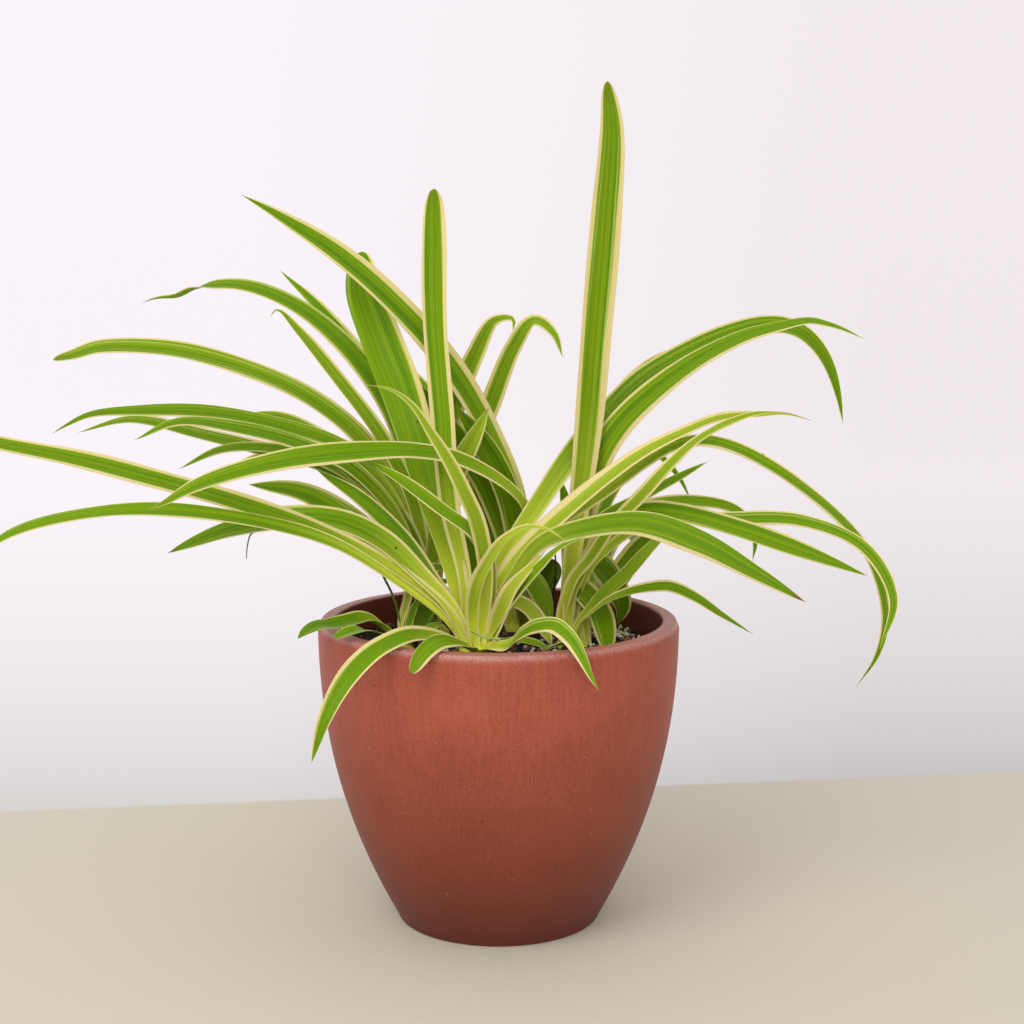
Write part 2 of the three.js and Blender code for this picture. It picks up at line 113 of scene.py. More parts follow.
def run_along(points: np.ndarray) -> np.ndarray:
    """Return how far along a line each of its points lies."""
    return np.concatenate([[0.0], np.cumsum(np.linalg.norm(np.diff(points, axis=0), axis=1))])


def through(knots: np.ndarray, samples: int = 24) -> np.ndarray:
    """Return places on a centripetal Catmull-Rom curve.

    Args:
        knots: the points that it passes through.
        samples: places for each stretch between two of them.

    Returns:
        The places, in order.
    """
    padded = np.vstack([2 * knots[0] - knots[1], knots, 2 * knots[-1] - knots[-2]])
    gaps = np.linalg.norm(np.diff(padded, axis=0), axis=1) ** 0.5
    t = np.linspace(0.0, 1.0, samples, endpoint=False)[:, None]
    parts = []
    for i in range(len(knots) - 1):
        p0, p1, p2, p3 = padded[i : i + 4]
        d0, d1, d2 = gaps[i : i + 3]
        leave = ((p1 - p0) / d0 - (p2 - p0) / (d0 + d1) + (p2 - p1) / d1) * d1
        arrive = ((p2 - p1) / d1 - (p3 - p1) / (d1 + d2) + (p3 - p2) / d2) * d1
        square = 3 * (p2 - p1) - 2 * leave - arrive
        cube = 2 * (p1 - p2) + leave + arrive
        parts.append(p1 + leave * t + square * t**2 + cube * t**3)
    return np.vstack([*parts, knots[-1:]])


def turned(profile: Iterable[Pair], sides: int) -> np.ndarray:
    """Turn a profile about the upright axis.

    Args:
        profile: radii and heights.
        sides: vertices in a ring.

    Returns:
        The vertices, one ring after another.
    """
    turns = np.linspace(0, 2 * math.pi, sides, endpoint=False)
    rings = [np.column_stack([r * np.cos(turns), r * np.sin(turns), np.full(sides, z)]) for r, z in profile]
    return np.vstack(rings)


def ring_faces(rings: int, sides: int, first: int = 0, flip: bool = False, closed: bool = False) -> Faces:
    """Join rings of vertices that follow one another.

    Args:
        rings: how many rings there are.
        sides: vertices in a ring.
        first: the number of the first ring's first vertex.
        flip: whether the quads look the other way.
        closed: whether the first and the last ring get a face each.

    Returns:
        The faces.
    """
    faces: Faces = []
    for start in range(first, first + (rings - 1) * sides, sides):
        for i in range(sides):
            a, b = start + i, start + (i + 1) % sides
            faces.append((a, a + sides, b + sides, b) if flip else (a, b, b + sides, a + sides))
    if closed:
        last = first + (rings - 1) * sides
        faces.append(tuple(reversed(range(first, first + sides))))
        faces.append(tuple(range(last, last + sides)))
    return faces


def feed(tree: bpy.types.NodeTree, node: bpy.types.Node, inputs: dict[Any, Any]) -> None:
    """Set or link a node's inputs.

    Args:
        tree: the tree that the node is in.
        node: the node.
        inputs: values or sockets by the input's name or number.
    """
    for key, value in inputs.items():
        if isinstance(value, bpy.types.NodeSocket):
            tree.links.new(value, node.inputs[key])
        else:
            node.inputs[key].default_value = value


def add_node(
    tree: bpy.types.NodeTree, kind: str, inputs: dict[Any, Any] | None = None, **settings: Any
) -> Any:
    """Add one node with its settings, and set or link its inputs.

    Args:
        tree: the shader or geometry tree.
        kind: the node's type name.
        inputs: values or sockets by the input's name or number.
        settings: attributes of the node itself.

    Returns:
        The new node's output sockets, which are picked by name or number.
    """
    node = tree.nodes.new(kind)
    for key, value in settings.items():
        setattr(node, key, value)
    feed(tree, node, inputs or {})
    return node.outputs


def lay_over(tree: bpy.types.NodeTree, lowest: Any, layers: Iterable[tuple[Any, Any]]) -> Any:
    """Lay colours over one another.

    Args:
        tree: the shader tree.
        lowest: the lowest colour, as a hex code or a socket.
        layers: how strong each colour above it is, and that colour, from below upwards.

    Returns:
        The socket of the colour that is seen.
    """
    seen = linear(lowest) if isinstance(lowest, str) else lowest
    for amount, above in layers:
        colour = linear(above) if isinstance(above, str) else above
        inputs = {0: amount, 6: seen, 7: colour}
        seen = add_node(tree, "ShaderNodeMix", inputs, data_type="RGBA")[2]
    return seen


def new_material(name: str) -> tuple[bpy.types.Material, bpy.types.NodeTree, bpy.types.Node]:
    """Make an empty material with one surface shader.

    Args:
        name: the material's name.

    Returns:
        The material, its tree and its shader node.
    """
    material = bpy.data.materials.new(name)
    material.use_nodes = True
    tree = material.node_tree
    return material, tree, tree.nodes["Principled BSDF"]


def new_mesh(
    name: str,
    vertices: np.ndarray,
    faces: Faces,
    material: bpy.types.Material,
    crease: float | None = 50.0,
) -> bpy.types.Object:
    """Make a smooth-shaded mesh object at the origin.

    Args:
        name: the object's name.
        vertices: places in millimetres, one row each.
        faces: vertex numbers of each face.
        material: its finish.
        crease: edges sharper than this many degrees stay sharp, or None for none.

    Returns:
        The new object.
    """
    mesh = bpy.data.meshes.new(name)
    mesh.from_pydata((vertices * MM).tolist(), [], faces)
    mesh.materials.append(material)
    mesh.shade_smooth()
    if crease is not None:
        mesh.set_sharp_from_angle(angle=math.radians(crease))
    return add_object(name, mesh)


def add_object(name: str, data: Any) -> bpy.types.Object:
    """Put something in the scene.

    Args:
        name: the object's name.
        data: its mesh, camera or lamp data.

    Returns:
        The new object.
    """
    item = bpy.data.objects.new(name, data)
    bpy.context.scene.collection.objects.link(item)
    return item


def add_values(piece: bpy.types.Object, name: str, values: np.ndarray) -> None:
    """Give every vertex one value, or three, that the piece's material reads.

    Args:
        piece: the object.
        name: the attribute's name.
        values: one row for each vertex.
    """
    kind, key = ("FLOAT_VECTOR", "vector") if values.ndim > 1 else ("FLOAT", "value")
    piece.data.attributes.new(name, kind, "POINT").data.foreach_set(key, values.ravel())


def seat(piece: bpy.types.Object, slot: str, *nodes: str) -> bpy.types.Object:
    """Put a finished piece in the frame.

    Args:
        piece: the object.
        slot: not used.
        nodes: the solids that it stands for.

    Returns:
        The same object.
    """
    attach(piece, BODY)
    if nodes:
        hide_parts(*nodes)
    return piece


@dataclass(frozen=True)
class LeafLook:
    """How one leaf is coloured.

    The two margins are where the cream begins, from 0 at the leaf's middle to 1 at its edge. pale is how pale
    its green is, dry_tip how brown its tip is, and tone how light it is, partly in its own colour and partly
    as painted light and shade for how the light falls on it.
    """

    low_margin: float
    high_margin: float
    pale: float = 0.0
    dry_tip: float = 0.15
    tone: float = 1.0

    @classmethod
    def common(cls, shift: np.ndarray) -> LeafLook:
        """Return the look of a leaf that has none of its own, varied by three values from -1 to 1."""
        low, high, tone = (usual + most * by for (usual, most), by in zip(COMMON_LOOK, shift))
        return cls(low, high, tone=tone)

    def rows(self, seed: int, count: int) -> tuple[np.ndarray, np.ndarray]:
        """Return the values that the material reads at every vertex.

        Args:
            seed: the leaf's random seed, which gives its pattern a place of its own.
            count: how many vertices it has.

        Returns:
            The margins with the pattern's place, and the pale part, the dry tip and the tone.
        """
        apart = seed % PATTERN_CYCLE / PATTERN_STEP
        look = np.tile([self.low_margin, self.high_margin, apart], (count, 1))
        return look, np.tile([self.pale, self.dry_tip, self.tone], (count, 1))


@dataclass(frozen=True)
class Leaf:
    """One leaf, as it is in the solids.

    Its width is the widest in millimetres. back is how far back its middle and tip lie. points run across and
    up, seen from the front. faces is where its upper face looks, as azimuth and height in degrees. tip is how
    blunt the tip is, base how narrow the base is, and widest how far along it is widest. turn is how far it
    turns about its own length, in degrees, from one fraction of that length to another.
    """

    name: str
    width: float
    back: Pair
    points: tuple[Pair, ...]
    faces: Pair = (270, 50)
    tip: float = 4.2
    base: float = 0.6
    widest: float = 0.5
    turn: Place = (0.0, 0.0, 1.0)


@dataclass(frozen=True)
class Flecks:
    """Small round marks, each in the middle of one of a few cells of a pattern.

    cells is how many cells there are to a metre, and bare the share of them without a mark. core and reach
    are a mark's full and faded radius, as parts of a cell.
    """

    colour: str
    cells: float
    bare: float
    core: float
    reach: float
    strength: float

    def amount(self, tree: bpy.types.NodeTree, place: Any) -> Any:
        """Build the pattern.

        Args:
            tree: the shader tree.
            place: the socket of the place that the pattern is read at.

        Returns:
            The socket of how strong the marks are there.
        """
        cells = add_node(tree, "ShaderNodeTexVoronoi", {"Vector": place, "Scale": self.cells})
        chosen = add_node(tree, "ShaderNodeSeparateColor", {0: cells["Color"]})[0]
        marked = add_node(tree, "ShaderNodeMath", {0: chosen, 1: self.bare}, operation="GREATER_THAN")[0]
        span = {"From Min": self.reach, "From Max": self.core, "To Max": self.strength}
        close = add_node(tree, "ShaderNodeMapRange", {"Value": cells["Distance"], **span})[0]
        return add_node(tree, "ShaderNodeMath", {0: marked, 1: close}, operation="MULTIPLY")[0]


@dataclass(frozen=True)
class LeafFinish:
    """Living strap leaf: a waxy skin over lengthwise veins, so it is green, ribbed and softly glossy.

    The lanes are streaks about a tenth of the blade wide, and the veins are a quarter of that. Light passes
    through the skin a little. The three numbers of a band are where it begins, where it is full, and how
    strong it is there.
    """

    name: str = "waxy_variegated_leaf"
    green: str = "#8AAA05"
    deep_green: str = "#4C840E"
    # The pale base colour is extra bright: partly the base's own paler green, partly painted light.
    base_green_and_painted_glow: str = "#D6DD4C"
    cream: str = "#E9D79A"
    inner_cream: str = "#DBDA84"
    stripe: str = "#CDD680"
    under: str = "#8FAE3C"
    dry: str = "#7A4B26"
    specks: Flecks = Flecks("#5A3D12", 120.0, 0.9, 0.05, 0.1, 0.8)
    roughness: float = 0.42
    gloss: float = 0.12
    passing: float = 0.35
    passing_depth: float = 0.0012
    passing_reach: Place = (0.8, 1.0, 0.15)
    lanes: Place = (9.0, 0.9, 1.0)
    veins: Place = (3.6, 1.0, 1.0)
    groove_depth: float = 0.0002
    groove_strength: float = 0.6
    wander_scale: float = 3.0
    wander: float = 0.28
    streak: float = 0.22
    tip_green: float = 0.16
    green_start: float = 0.32
    cream_band: Place = (-0.03, 0.05, 1.0)
    outer_band: Place = (0.02, 0.14, 1.0)
    stripe_band: Place = (-0.5, -0.06, 0.6)
    stripe_lane: Place = (0.6, 0.68, 1.0)
    base_band: Place = (0.5, 0.0, 0.9)
    midrib_groove_and_shade_band: Place = (0.09, 0.02, 0.3)
    dry_band: Place = (0.985, 1.02, 1.0)
    dry_edge: float = 0.06
    # How much lighter the base is made: painted light.
    base_painted_glow: float = 0.32
    base_fade: float = -0.6
    vein_share: float = 0.4
    green_range: Pair = (0.24, 0.66)
    shade_range: Pair = (0.82, 1.16)
    under_share: float = 0.25

    def make(self) -> bpy.types.Material:
        """Build the material, which follows the blade's own map: across in X and along in Y.

        Returns:
            The material.
        """
        material, tree, shader = new_material(self.name)
        blade = add_node(tree, "ShaderNodeUVMap", uv_map="blade")[0]
        across, along, _ = add_node(tree, "ShaderNodeSeparateXYZ", {0: blade})
        look, kind, under = (
            add_node(tree, "ShaderNodeAttribute", attribute_name=name)[part]
            for name, part in (("look", "Vector"), ("kind", "Vector"), ("under", "Fac"))
        )
        low_margin, high_margin, seed = add_node(tree, "ShaderNodeSeparateXYZ", {0: look})
        pale, dry_tip, tone = add_node(tree, "ShaderNodeSeparateXYZ", {0: kind})

        # Lengthwise lanes and veins: fine across the blade and very slow along it.
        apart = add_node(tree, "ShaderNodeCombineXYZ", {0: seed, 1: seed, 2: seed})[0]
        lane_at = blade
        for other, operation in ((self.lanes, "MULTIPLY"), (apart, "ADD")):
            lane_at = add_node(tree, "ShaderNodeVectorMath", {0: lane_at, 1: other}, operation=operation)[0]
        vein_at = add_node(
            tree, "ShaderNodeVectorMath", {0: lane_at, 1: self.veins}, operation="MULTIPLY"
        )[0]

        # The line where the cream begins wanders along each side, and is streaky.
        side = add_node(tree, "ShaderNodeMath", {0: across, 1: 0.5}, operation="SUBTRACT")[0]
        high = add_node(tree, "ShaderNodeMath", {0: side, 1: 0.0}, operation="GREATER_THAN")[0]
        slow = add_node(tree, "ShaderNodeCombineXYZ", {0: high, 1: along, 2: seed})[0]
        lane, vein, wander = (
            add_node(tree, "ShaderNodeTexNoise", {"Vector": at, "Scale": scale, "Detail": detail})[0]
            for at, scale, detail in (
                (lane_at, 1.0, 1.0),
                (vein_at, 1.0, 2.0),
                (slow, self.wander_scale, 1.0),
            )
        )
        begin = add_node(tree, "ShaderNodeMix", {0: high, 2: low_margin, 3: high_margin})[0]
        for value, share in ((wander, self.wander), (vein, self.streak), (along, self.tip_green)):
            inputs = {0: value, 1: share, 2: begin}
            begin = add_node(tree, "ShaderNodeMath", inputs, operation="MULTIPLY_ADD")[0]
        begin, half, ragged = (
            add_node(tree, "ShaderNodeMath", inputs, operation=operation)[0]
            for operation, inputs in (
                ("SUBTRACT", {0: begin, 1: self.green_start}),
                ("ABSOLUTE", {0: side}),
                ("MULTIPLY_ADD", {0: lane, 1: self.dry_edge, 2: along}),
            )
        )
        wide = add_node(tree, "ShaderNodeMath", {0: half, 1: 2.0}, operation="MULTIPLY")[0]
        past = add_node(tree, "ShaderNodeMath", {0: wide, 1: begin}, operation="SUBTRACT")[0]
        is_cream, is_outer, is_near, is_thin, is_base, midrib_groove_and_shade, is_tip = (
            add_node(
                tree,
                "ShaderNodeMapRange",
                {"Value": value, "From Min": low, "From Max": full, "To Max": most},
                interpolation_type="SMOOTHSTEP",
            )[0]
            for value, (low, full, most) in (
                (past, self.cream_band),
                (past, self.outer_band),
                (past, self.stripe_band),
                (lane, self.stripe_lane),
                (along, self.base_band),
                (wide, self.midrib_groove_and_shade_band),
                (ragged, self.dry_band),
            )
        )

        # The base of the blade is paler, and its cream fades into it. Its colour is also made lighter there:
        # painted light that stands for light passing through the crowded leaves.
        lift, fade = (
            add_node(tree, "ShaderNodeMath", {0: is_base, 1: share, 2: 1.0}, operation="MULTIPLY_ADD")[0]
            for share in (self.base_painted_glow, self.base_fade)
        )
        is_pale, is_outer, is_stripe, is_dry, is_under = (
            add_node(tree, "ShaderNodeMath", {0: one, 1: other}, operation=operation)[0]
            for one, other, operation in (
                (is_base, pale, "MAXIMUM"),
                (is_outer, fade, "MULTIPLY"),
                (is_thin, is_near, "MULTIPLY"),
                (is_tip, dry_tip, "MULTIPLY"),
                (under, self.under_share, "MULTIPLY"),
            )
        )
        both = add_node(tree, "ShaderNodeMix", {0: self.vein_share, 2: lane, 3: vein})[0]
        low, full = self.green_range
        fresh = add_node(tree, "ShaderNodeMapRange", {"Value": both, "From Min": low, "From Max": full})[0]
        place = add_node(tree, "ShaderNodeTexCoord")["Object"]
        # The midrib's groove is laid over in deep green: painted shade in the crease of the fold.
        layers = (
            (fresh, self.green),
            (midrib_groove_and_shade, self.deep_green),
            (is_pale, self.base_green_and_painted_glow),
            (is_stripe, self.stripe),
            (is_cream, self.inner_cream),
            (is_outer, self.cream),
            (self.specks.amount(tree, place), self.specks.colour),
        )
        colour = lay_over(tree, self.deep_green, layers)
        # The shade is the veins' streaks, times each leaf's lightness with its painted light and shade, times
        # the painted light at the base.
        low, full = self.shade_range
        shade = add_node(tree, "ShaderNodeMapRange", {"Value": vein, "To Min": low, "To Max": full})[0]
        for factor in (tone, lift):
            shade = add_node(tree, "ShaderNodeMath", {0: shade, 1: factor}, operation="MULTIPLY")[0]
        colour = add_node(tree, "ShaderNodeHueSaturation", {"Color": colour, "Value": shade})[0]
        colour = lay_over(tree, colour, ((is_under, self.under), (is_dry, self.dry)))
        height = lane
        for value, operation in ((vein, "ADD"), (midrib_groove_and_shade, "SUBTRACT")):
            height = add_node(tree, "ShaderNodeMath", {0: height, 1: value}, operation=operation)[0]
        grooves = {"Height": height, "Strength": self.groove_strength, "Distance": self.groove_depth}
        surface = {
            "Base Color": colour,
            "Roughness": self.roughness,
            "Specular IOR Level": self.gloss,
            "Subsurface Weight": self.passing,
            "Subsurface Scale": self.passing_depth,
            "Subsurface Radius": self.passing_reach,
            "Normal": add_node(tree, "ShaderNodeBump", grooves)[0],
        }
        feed(tree, shader, surface)
        return material


@dataclass(frozen=True)
class CeramicFinish:
    """Brick-red stoneware with a thin matt glaze, brushed on downwards.

    The eye gets fine upright streaks about 1 mm wide and 25 mm long, a soft mottle, a few pits and pale
    specks, and a rubbed bevel at the rim with a low sheen, whose pale band also carries a painted highlight.
    The foot is darker, partly in its own colour and partly as painted shade, and the inside is darker as
    painted shade.
    The three numbers of a band are the heights in metres where it begins and is full, and how strong it is.
    """

    name: str = "matt_brick_stoneware"
    light: str = "#B25843"
    dark: str = "#994733"
    # Darker towards the foot: partly the foot's own colour, partly painted shade.
    foot: str = "#582014"
    # The inside's darker colour is painted shade.
    inside: str = "#702C27"
    # The rim's bevel is rubbed paler in places, and this pale band is also a painted highlight.
    worn_and_painted_highlight: str = "#C39A90"
    marks: tuple[Flecks, ...] = (
        Flecks("#4A231C", 170.0, 0.93, 0.06, 0.1, 0.8),
        Flecks("#C39A90", 300.0, 0.87, 0.066, 0.11, 0.55),
    )
    gloss: float = 0.35
    streaks: Place = (900.0, 900.0, 40.0)
    cloud_scale: float = 38.0
    grain_scale: float = 1250.0
    cloud_share: float = 0.5
    grain_share: float = 0.42
    tint_range: Pair = (0.39, 0.61)
    rubbed_range: Pair = (0.3, 0.6)
    darker_foot_and_shade_band: Place = (0.105, 0.0, 0.9)
    bevel_band: Place = (0.1241, 0.1262, 0.78)
    ledge_band: Place = (0.1264, 0.1269, 0.4)
    rough_range: Pair = (0.38, 0.66)
    bevel_sheen: float = -0.14
    grain_height: float = 0.5
    grain_depth: float = 0.0002
    grain_strength: float = 0.25

    def make(self) -> bpy.types.Material:
        """Build the material on Object coordinates.

        Returns:
            The material.
        """
        material, tree, shader = new_material(self.name)
        place = add_node(tree, "ShaderNodeTexCoord")["Object"]
        drawn = add_node(tree, "ShaderNodeVectorMath", {0: place, 1: self.streaks}, operation="MULTIPLY")[0]
        streak, cloud, grain = (
            add_node(tree, "ShaderNodeTexNoise", {"Vector": at, "Scale": scale, "Detail": detail})[0]
            for at, scale, detail in (
                (drawn, 1.0, 3.0),
                (place, self.cloud_scale, 5.0),
                (place, self.grain_scale, 2.0),
            )
        )
        mottle = streak
        for share, other in ((self.cloud_share, cloud), (self.grain_share, grain)):
            mottle = add_node(tree, "ShaderNodeMix", {0: share, 2: mottle, 3: other})[0]
        tint, rubbed = (
            add_node(tree, "ShaderNodeMapRange", {"Value": mottle, "From Min": low, "From Max": full})[0]
            for low, full in (self.tint_range, self.rubbed_range)
        )

        # Lower down it is darker, partly in its own colour and partly as painted shade; inside it is darker
        # as painted shade. On the rim it is rubbed paler in places, and that pale band is also a painted
        # highlight.
        up = add_node(tree, "ShaderNodeSeparateXYZ", {0: place})[2]
        low_down_and_painted_shade, bevel, ledge = (
            add_node(
                tree,
                "ShaderNodeMapRange",
                {"Value": up, "From Min": low, "From Max": full, "To Max": most},
                interpolation_type=kind,
            )[0]
            for (low, full, most), kind in (
                (self.darker_foot_and_shade_band, "LINEAR"),
                (self.bevel_band, "SMOOTHSTEP"),
                (self.ledge_band, "SMOOTHSTEP"),
            )
        )
        rim = bevel
        for other, operation in ((ledge, "SUBTRACT"), (rubbed, "MULTIPLY")):
            rim = add_node(tree, "ShaderNodeMath", {0: rim, 1: other}, operation=operation)[0]
        inner = add_node(tree, "ShaderNodeAttribute", attribute_name="inside")["Fac"]
        layers = [(tint, self.light), (low_down_and_painted_shade, self.foot), (rim, self.worn_and_painted_highlight), (inner, self.inside)]
        layers += [(mark.amount(tree, place), mark.colour) for mark in self.marks]
        low, full = self.rough_range
        rough = add_node(tree, "ShaderNodeMapRange", {"Value": mottle, "To Min": low, "To Max": full})[0]
        sheen = {0: bevel, 1: self.bevel_sheen, 2: rough}
        height = add_node(tree, "ShaderNodeMix", {0: self.grain_height, 2: streak, 3: grain})[0]
        bump = {"Height": height, "Strength": self.grain_strength, "Distance": self.grain_depth}
        surface = {
            "Base Color": lay_over(tree, self.dark, layers),
            "Roughness": add_node(tree, "ShaderNodeMath", sheen, operation="MULTIPLY_ADD")[0],
            "Specular IOR Level": self.gloss,
            "Normal": add_node(tree, "ShaderNodeBump", bump)[0],
        }
        feed(tree, shader, surface)
        return material


@dataclass(frozen=True)
class GrainFinish:
    """Something loose or dry, mottled between two colours and quite rough, so that it hardly shines.

    scale is how many spots there are to a metre, and depth how high they stand, in metres.
    """

    name: str
    light: str
    dark: str
    scale: float
    depth: float
    roughness: float
    spot_range: Pair = (0.35, 0.65)
    strength: float = 0.8

    def make(self) -> bpy.types.Material:
        """Build the material on Object coordinates.

        Returns:
            The material.
        """
        material, tree, shader = new_material(self.name)
        place = add_node(tree, "ShaderNodeTexCoord")["Object"]
        spots = add_node(
            tree, "ShaderNodeTexNoise", {"Vector": place, "Scale": self.scale, "Detail": 4.0}
        )[0]
        low, full = self.spot_range
        tint = add_node(tree, "ShaderNodeMapRange", {"Value": spots, "From Min": low, "From Max": full})[0]
        bump = {"Height": spots, "Strength": self.strength, "Distance": self.depth}
        surface = {
            "Base Color": lay_over(tree, self.dark, [(tint, self.light)]),
            "Roughness": self.roughness,
            "Normal": add_node(tree, "ShaderNodeBump", bump)[0],
        }
        feed(tree, shader, surface)
        return material


class Grain(Enum):
    """The loose and the dry things on and in the potting mix, by the finish of each."""

    MIX = GrainFinish("damp_potting_mix", "#2C1F16", "#0F0B08", 420.0, 0.0012, 0.96)
    CRUMB = GrainFinish("peat_crumb", "#4B3528", "#150F0B", 300.0, 0.0004, 0.95)
    BARK = GrainFinish("composted_bark", "#9A6B4A", "#33211A", 260.0, 0.0006, 0.85)
    PERLITE = GrainFinish("expanded_perlite", "#FFF7E2", "#D8CBB0", 900.0, 0.0003, 0.95)
    FIBRE = GrainFinish("dried_plant_fibre", "#5A4430", "#1E1610", 500.0, 0.0002, 0.85)
    PALE_STEM = GrainFinish("pale_green_stem", "#C3D07C", "#8FA548", 500.0, 0.0001, 0.5)
    STEM = GrainFinish("young_green_stem", "#6F8F2A", "#42611A", 500.0, 0.0001, 0.5)


@dataclass
class Blade:
    """Makes one leaf's fine mesh: a channelled strap with thin margins that tapers to its tip.

    A swell is how much the width varies, as a part of it, and how fast. A ripple is the length in
    millimetres over which a margin waves.
    """

    leaf: Leaf
    crown: Pair
    seed: int
    step: float = 2.0
    fewest: int = 44
    tip_stations: int = 7
    tip_gap: float = 0.003
    lanes: int = 12
    thickness: float = 0.6
    margin_thickness: float = 0.2
    tip_width: float = 0.25
    keel: float = 0.1
    wobble: float = 0.35
    swells: tuple[Pair, ...] = ((0.025, 9), (0.015, 23))
    ripples: Pair = (9, 11)
    blunt_power: float = 5.5

    def curve(self) -> np.ndarray:
        """Follow the leaf's middle line, as the solids do.

        Returns:
            Places close together along it.
        """
        crown_x, crown_y = self.crown
        flat = np.array([(crown_x, SOIL_LEVEL), *self.leaf.points], dtype=float)
        run = run_along(flat)
        along = run / run[-1]
        middle, tip = self.leaf.back[0] - crown_y, self.leaf.back[1] - crown_y
        depth = crown_y + (4 * middle - tip) * along + (2 * tip - 4 * middle) * along**2
        knots = np.column_stack([flat[:, 0], depth, flat[:, 1]])
        outward = knots[1, :2] - np.array(self.crown)
        outward *= ROOT_SPREAD / np.linalg.norm(outward)
        knots[0] = (crown_x + outward[0], crown_y + outward[1], SOIL_LEVEL + ROOT_RISE)
        return through(knots)

    def stations(self, length: float) -> np.ndarray:
        """Spread the sections evenly, and closer in the last stretch.

        Args:
            length: the leaf's length in millimetres.

        Returns:
            The fractions of the length that they stand at.
        """
        count = max(self.fewest, round(length / self.step))
        even = np.linspace(0.0, 1.0, count)
        close = 1.0 - np.geomspace(self.tip_gap, 2.0 / count, self.tip_stations)
        return np.unique(np.concatenate([even, close]))

    def spread(self, along: np.ndarray) -> np.ndarray:
        """Taper the blade towards its base and its tip.

        Args:
            along: fractions of the length.

        Returns:
            The widths there, as parts of the widest.
        """
        base = self.leaf.base + (1 - self.leaf.base) * smooth(along, 0.0, self.leaf.widest)
        tapered = np.clip((along - TAPER_FROM) / (1 - TAPER_FROM), 0.0, 1.0)
        left = 1 - tapered**self.leaf.tip
        return base * (left**0.5 if self.leaf.tip > self.blunt_power else left)

    def axes(self, path: np.ndarray, run: np.ndarray, along: np.ndarray) -> tuple[np.ndarray, ...]:
        """Work out where each section stands and which way it faces.

        Args:
            path: places along the middle line.
            run: how far along each of them lies.
            along: the sections' fractions of the length.

        Returns:
            The sections' middles, their upper directions and their directions across.
        """
        middle, tangent = (
            np.column_stack([np.interp(along * run[-1], run, values[:, k]) for k in range(3)])
            for values in (path, np.gradient(path, run, axis=0))
        )
        tangent /= np.linalg.norm(tangent, axis=1, keepdims=True)
        azimuth, height = np.radians(self.leaf.faces)
        level = math.cos(height)
        looks = np.array([math.cos(azimuth) * level, math.sin(azimuth) * level, math.sin(height)])
        upper = looks - tangent * (tangent @ looks)[:, None]
        upper /= np.linalg.norm(upper, axis=1, keepdims=True)
        degrees, start, end = self.leaf.turn
        twist = math.radians(degrees) * smooth(along, start, end)[:, None]
        upper = upper * np.cos(twist) + np.cross(tangent, upper) * np.sin(twist)
        return middle, upper, np.cross(tangent, upper)

    def sections(self, along: np.ndarray, at: np.ndarray) -> tuple[np.ndarray, ...]:
        """Work out the channelled cross sections.

        Args:
            along: the sections' fractions of the length.
            at: how far along they lie, in millimetres.

        Returns:
            How far each line along the blade lies across and up at each section, and how thick it is.
        """
        phases = np.random.default_rng(self.seed).uniform(0, 2 * math.pi, 4)
        half = np.maximum(self.tip_width, self.leaf.width * self.spread(along)) / 2
        swells = zip(self.swells, phases)
        half *= sum((size * np.sin(rate * along + phase) for (size, rate), phase in swells), 1.0)
        fold = np.radians(BASE_FOLD + (TIP_FOLD - BASE_FOLD) * smooth(along, 0.0, OPEN_AT))
        side = np.linspace(-1.0, 1.0, self.lanes + 1)
        rise = np.sqrt(side**2 + self.keel**2)
        rise = (rise - rise.min()) / (rise.max() - rise.min())
        ripple = sum(
            self.wobble * np.outer(np.sin(at / length + phase), np.maximum(edge, 0.0) ** 3)
            for length, phase, edge in zip(self.ripples, phases[2:], (side, -side))
        )
        lift = np.outer(half * np.sin(fold), rise - 0.5) + ripple * (half / half.max())[:, None]
        thick = self.margin_thickness + (self.thickness - self.margin_thickness) * (1 - side**4)
        return np.outer(half * np.cos(fold), side), lift, np.outer(np.minimum(1.0, half / 2), thick)

    def build(self) -> tuple[np.ndarray, Faces, np.ndarray, np.ndarray]:
        """Make the blade.

        Returns:
            Its vertices, faces, map (across, along) and how much each vertex is underside.
        """
        path = self.curve()
        run = run_along(path)
        along = self.stations(run[-1])
        middle, upper, across = self.axes(path, run, along)
        reach, lift, thick = self.sections(along, along * run[-1])
        sheet = middle[:, None] + across[:, None] * reach[..., None]
        top = sheet + upper[:, None] * (lift + thick / 2)[..., None]
        bottom = sheet + upper[:, None] * (lift - thick / 2)[..., None]
        vertices = np.concatenate([top, bottom[:, ::-1]], axis=1).reshape(-1, 3)
        count, wide = len(along), self.lanes + 1
        ring = 2 * wide
        faces = ring_faces(count, ring)
        last = (count - 1) * ring
        for b in range(self.lanes):
            faces.append((b, ring - 1 - b, ring - 2 - b, b + 1))
            faces.append((last + b, last + b + 1, last + ring - 2 - b, last + ring - 1 - b))
        side = np.linspace(-1.0, 1.0, wide)
        u = (np.concatenate([side, side[::-1]]) + 1) / 2
        blade_map = np.column_stack([np.tile(u, count), np.repeat(along, ring)])
        return vertices, faces, blade_map, np.tile(np.repeat([0.0, 1.0], wide), count)


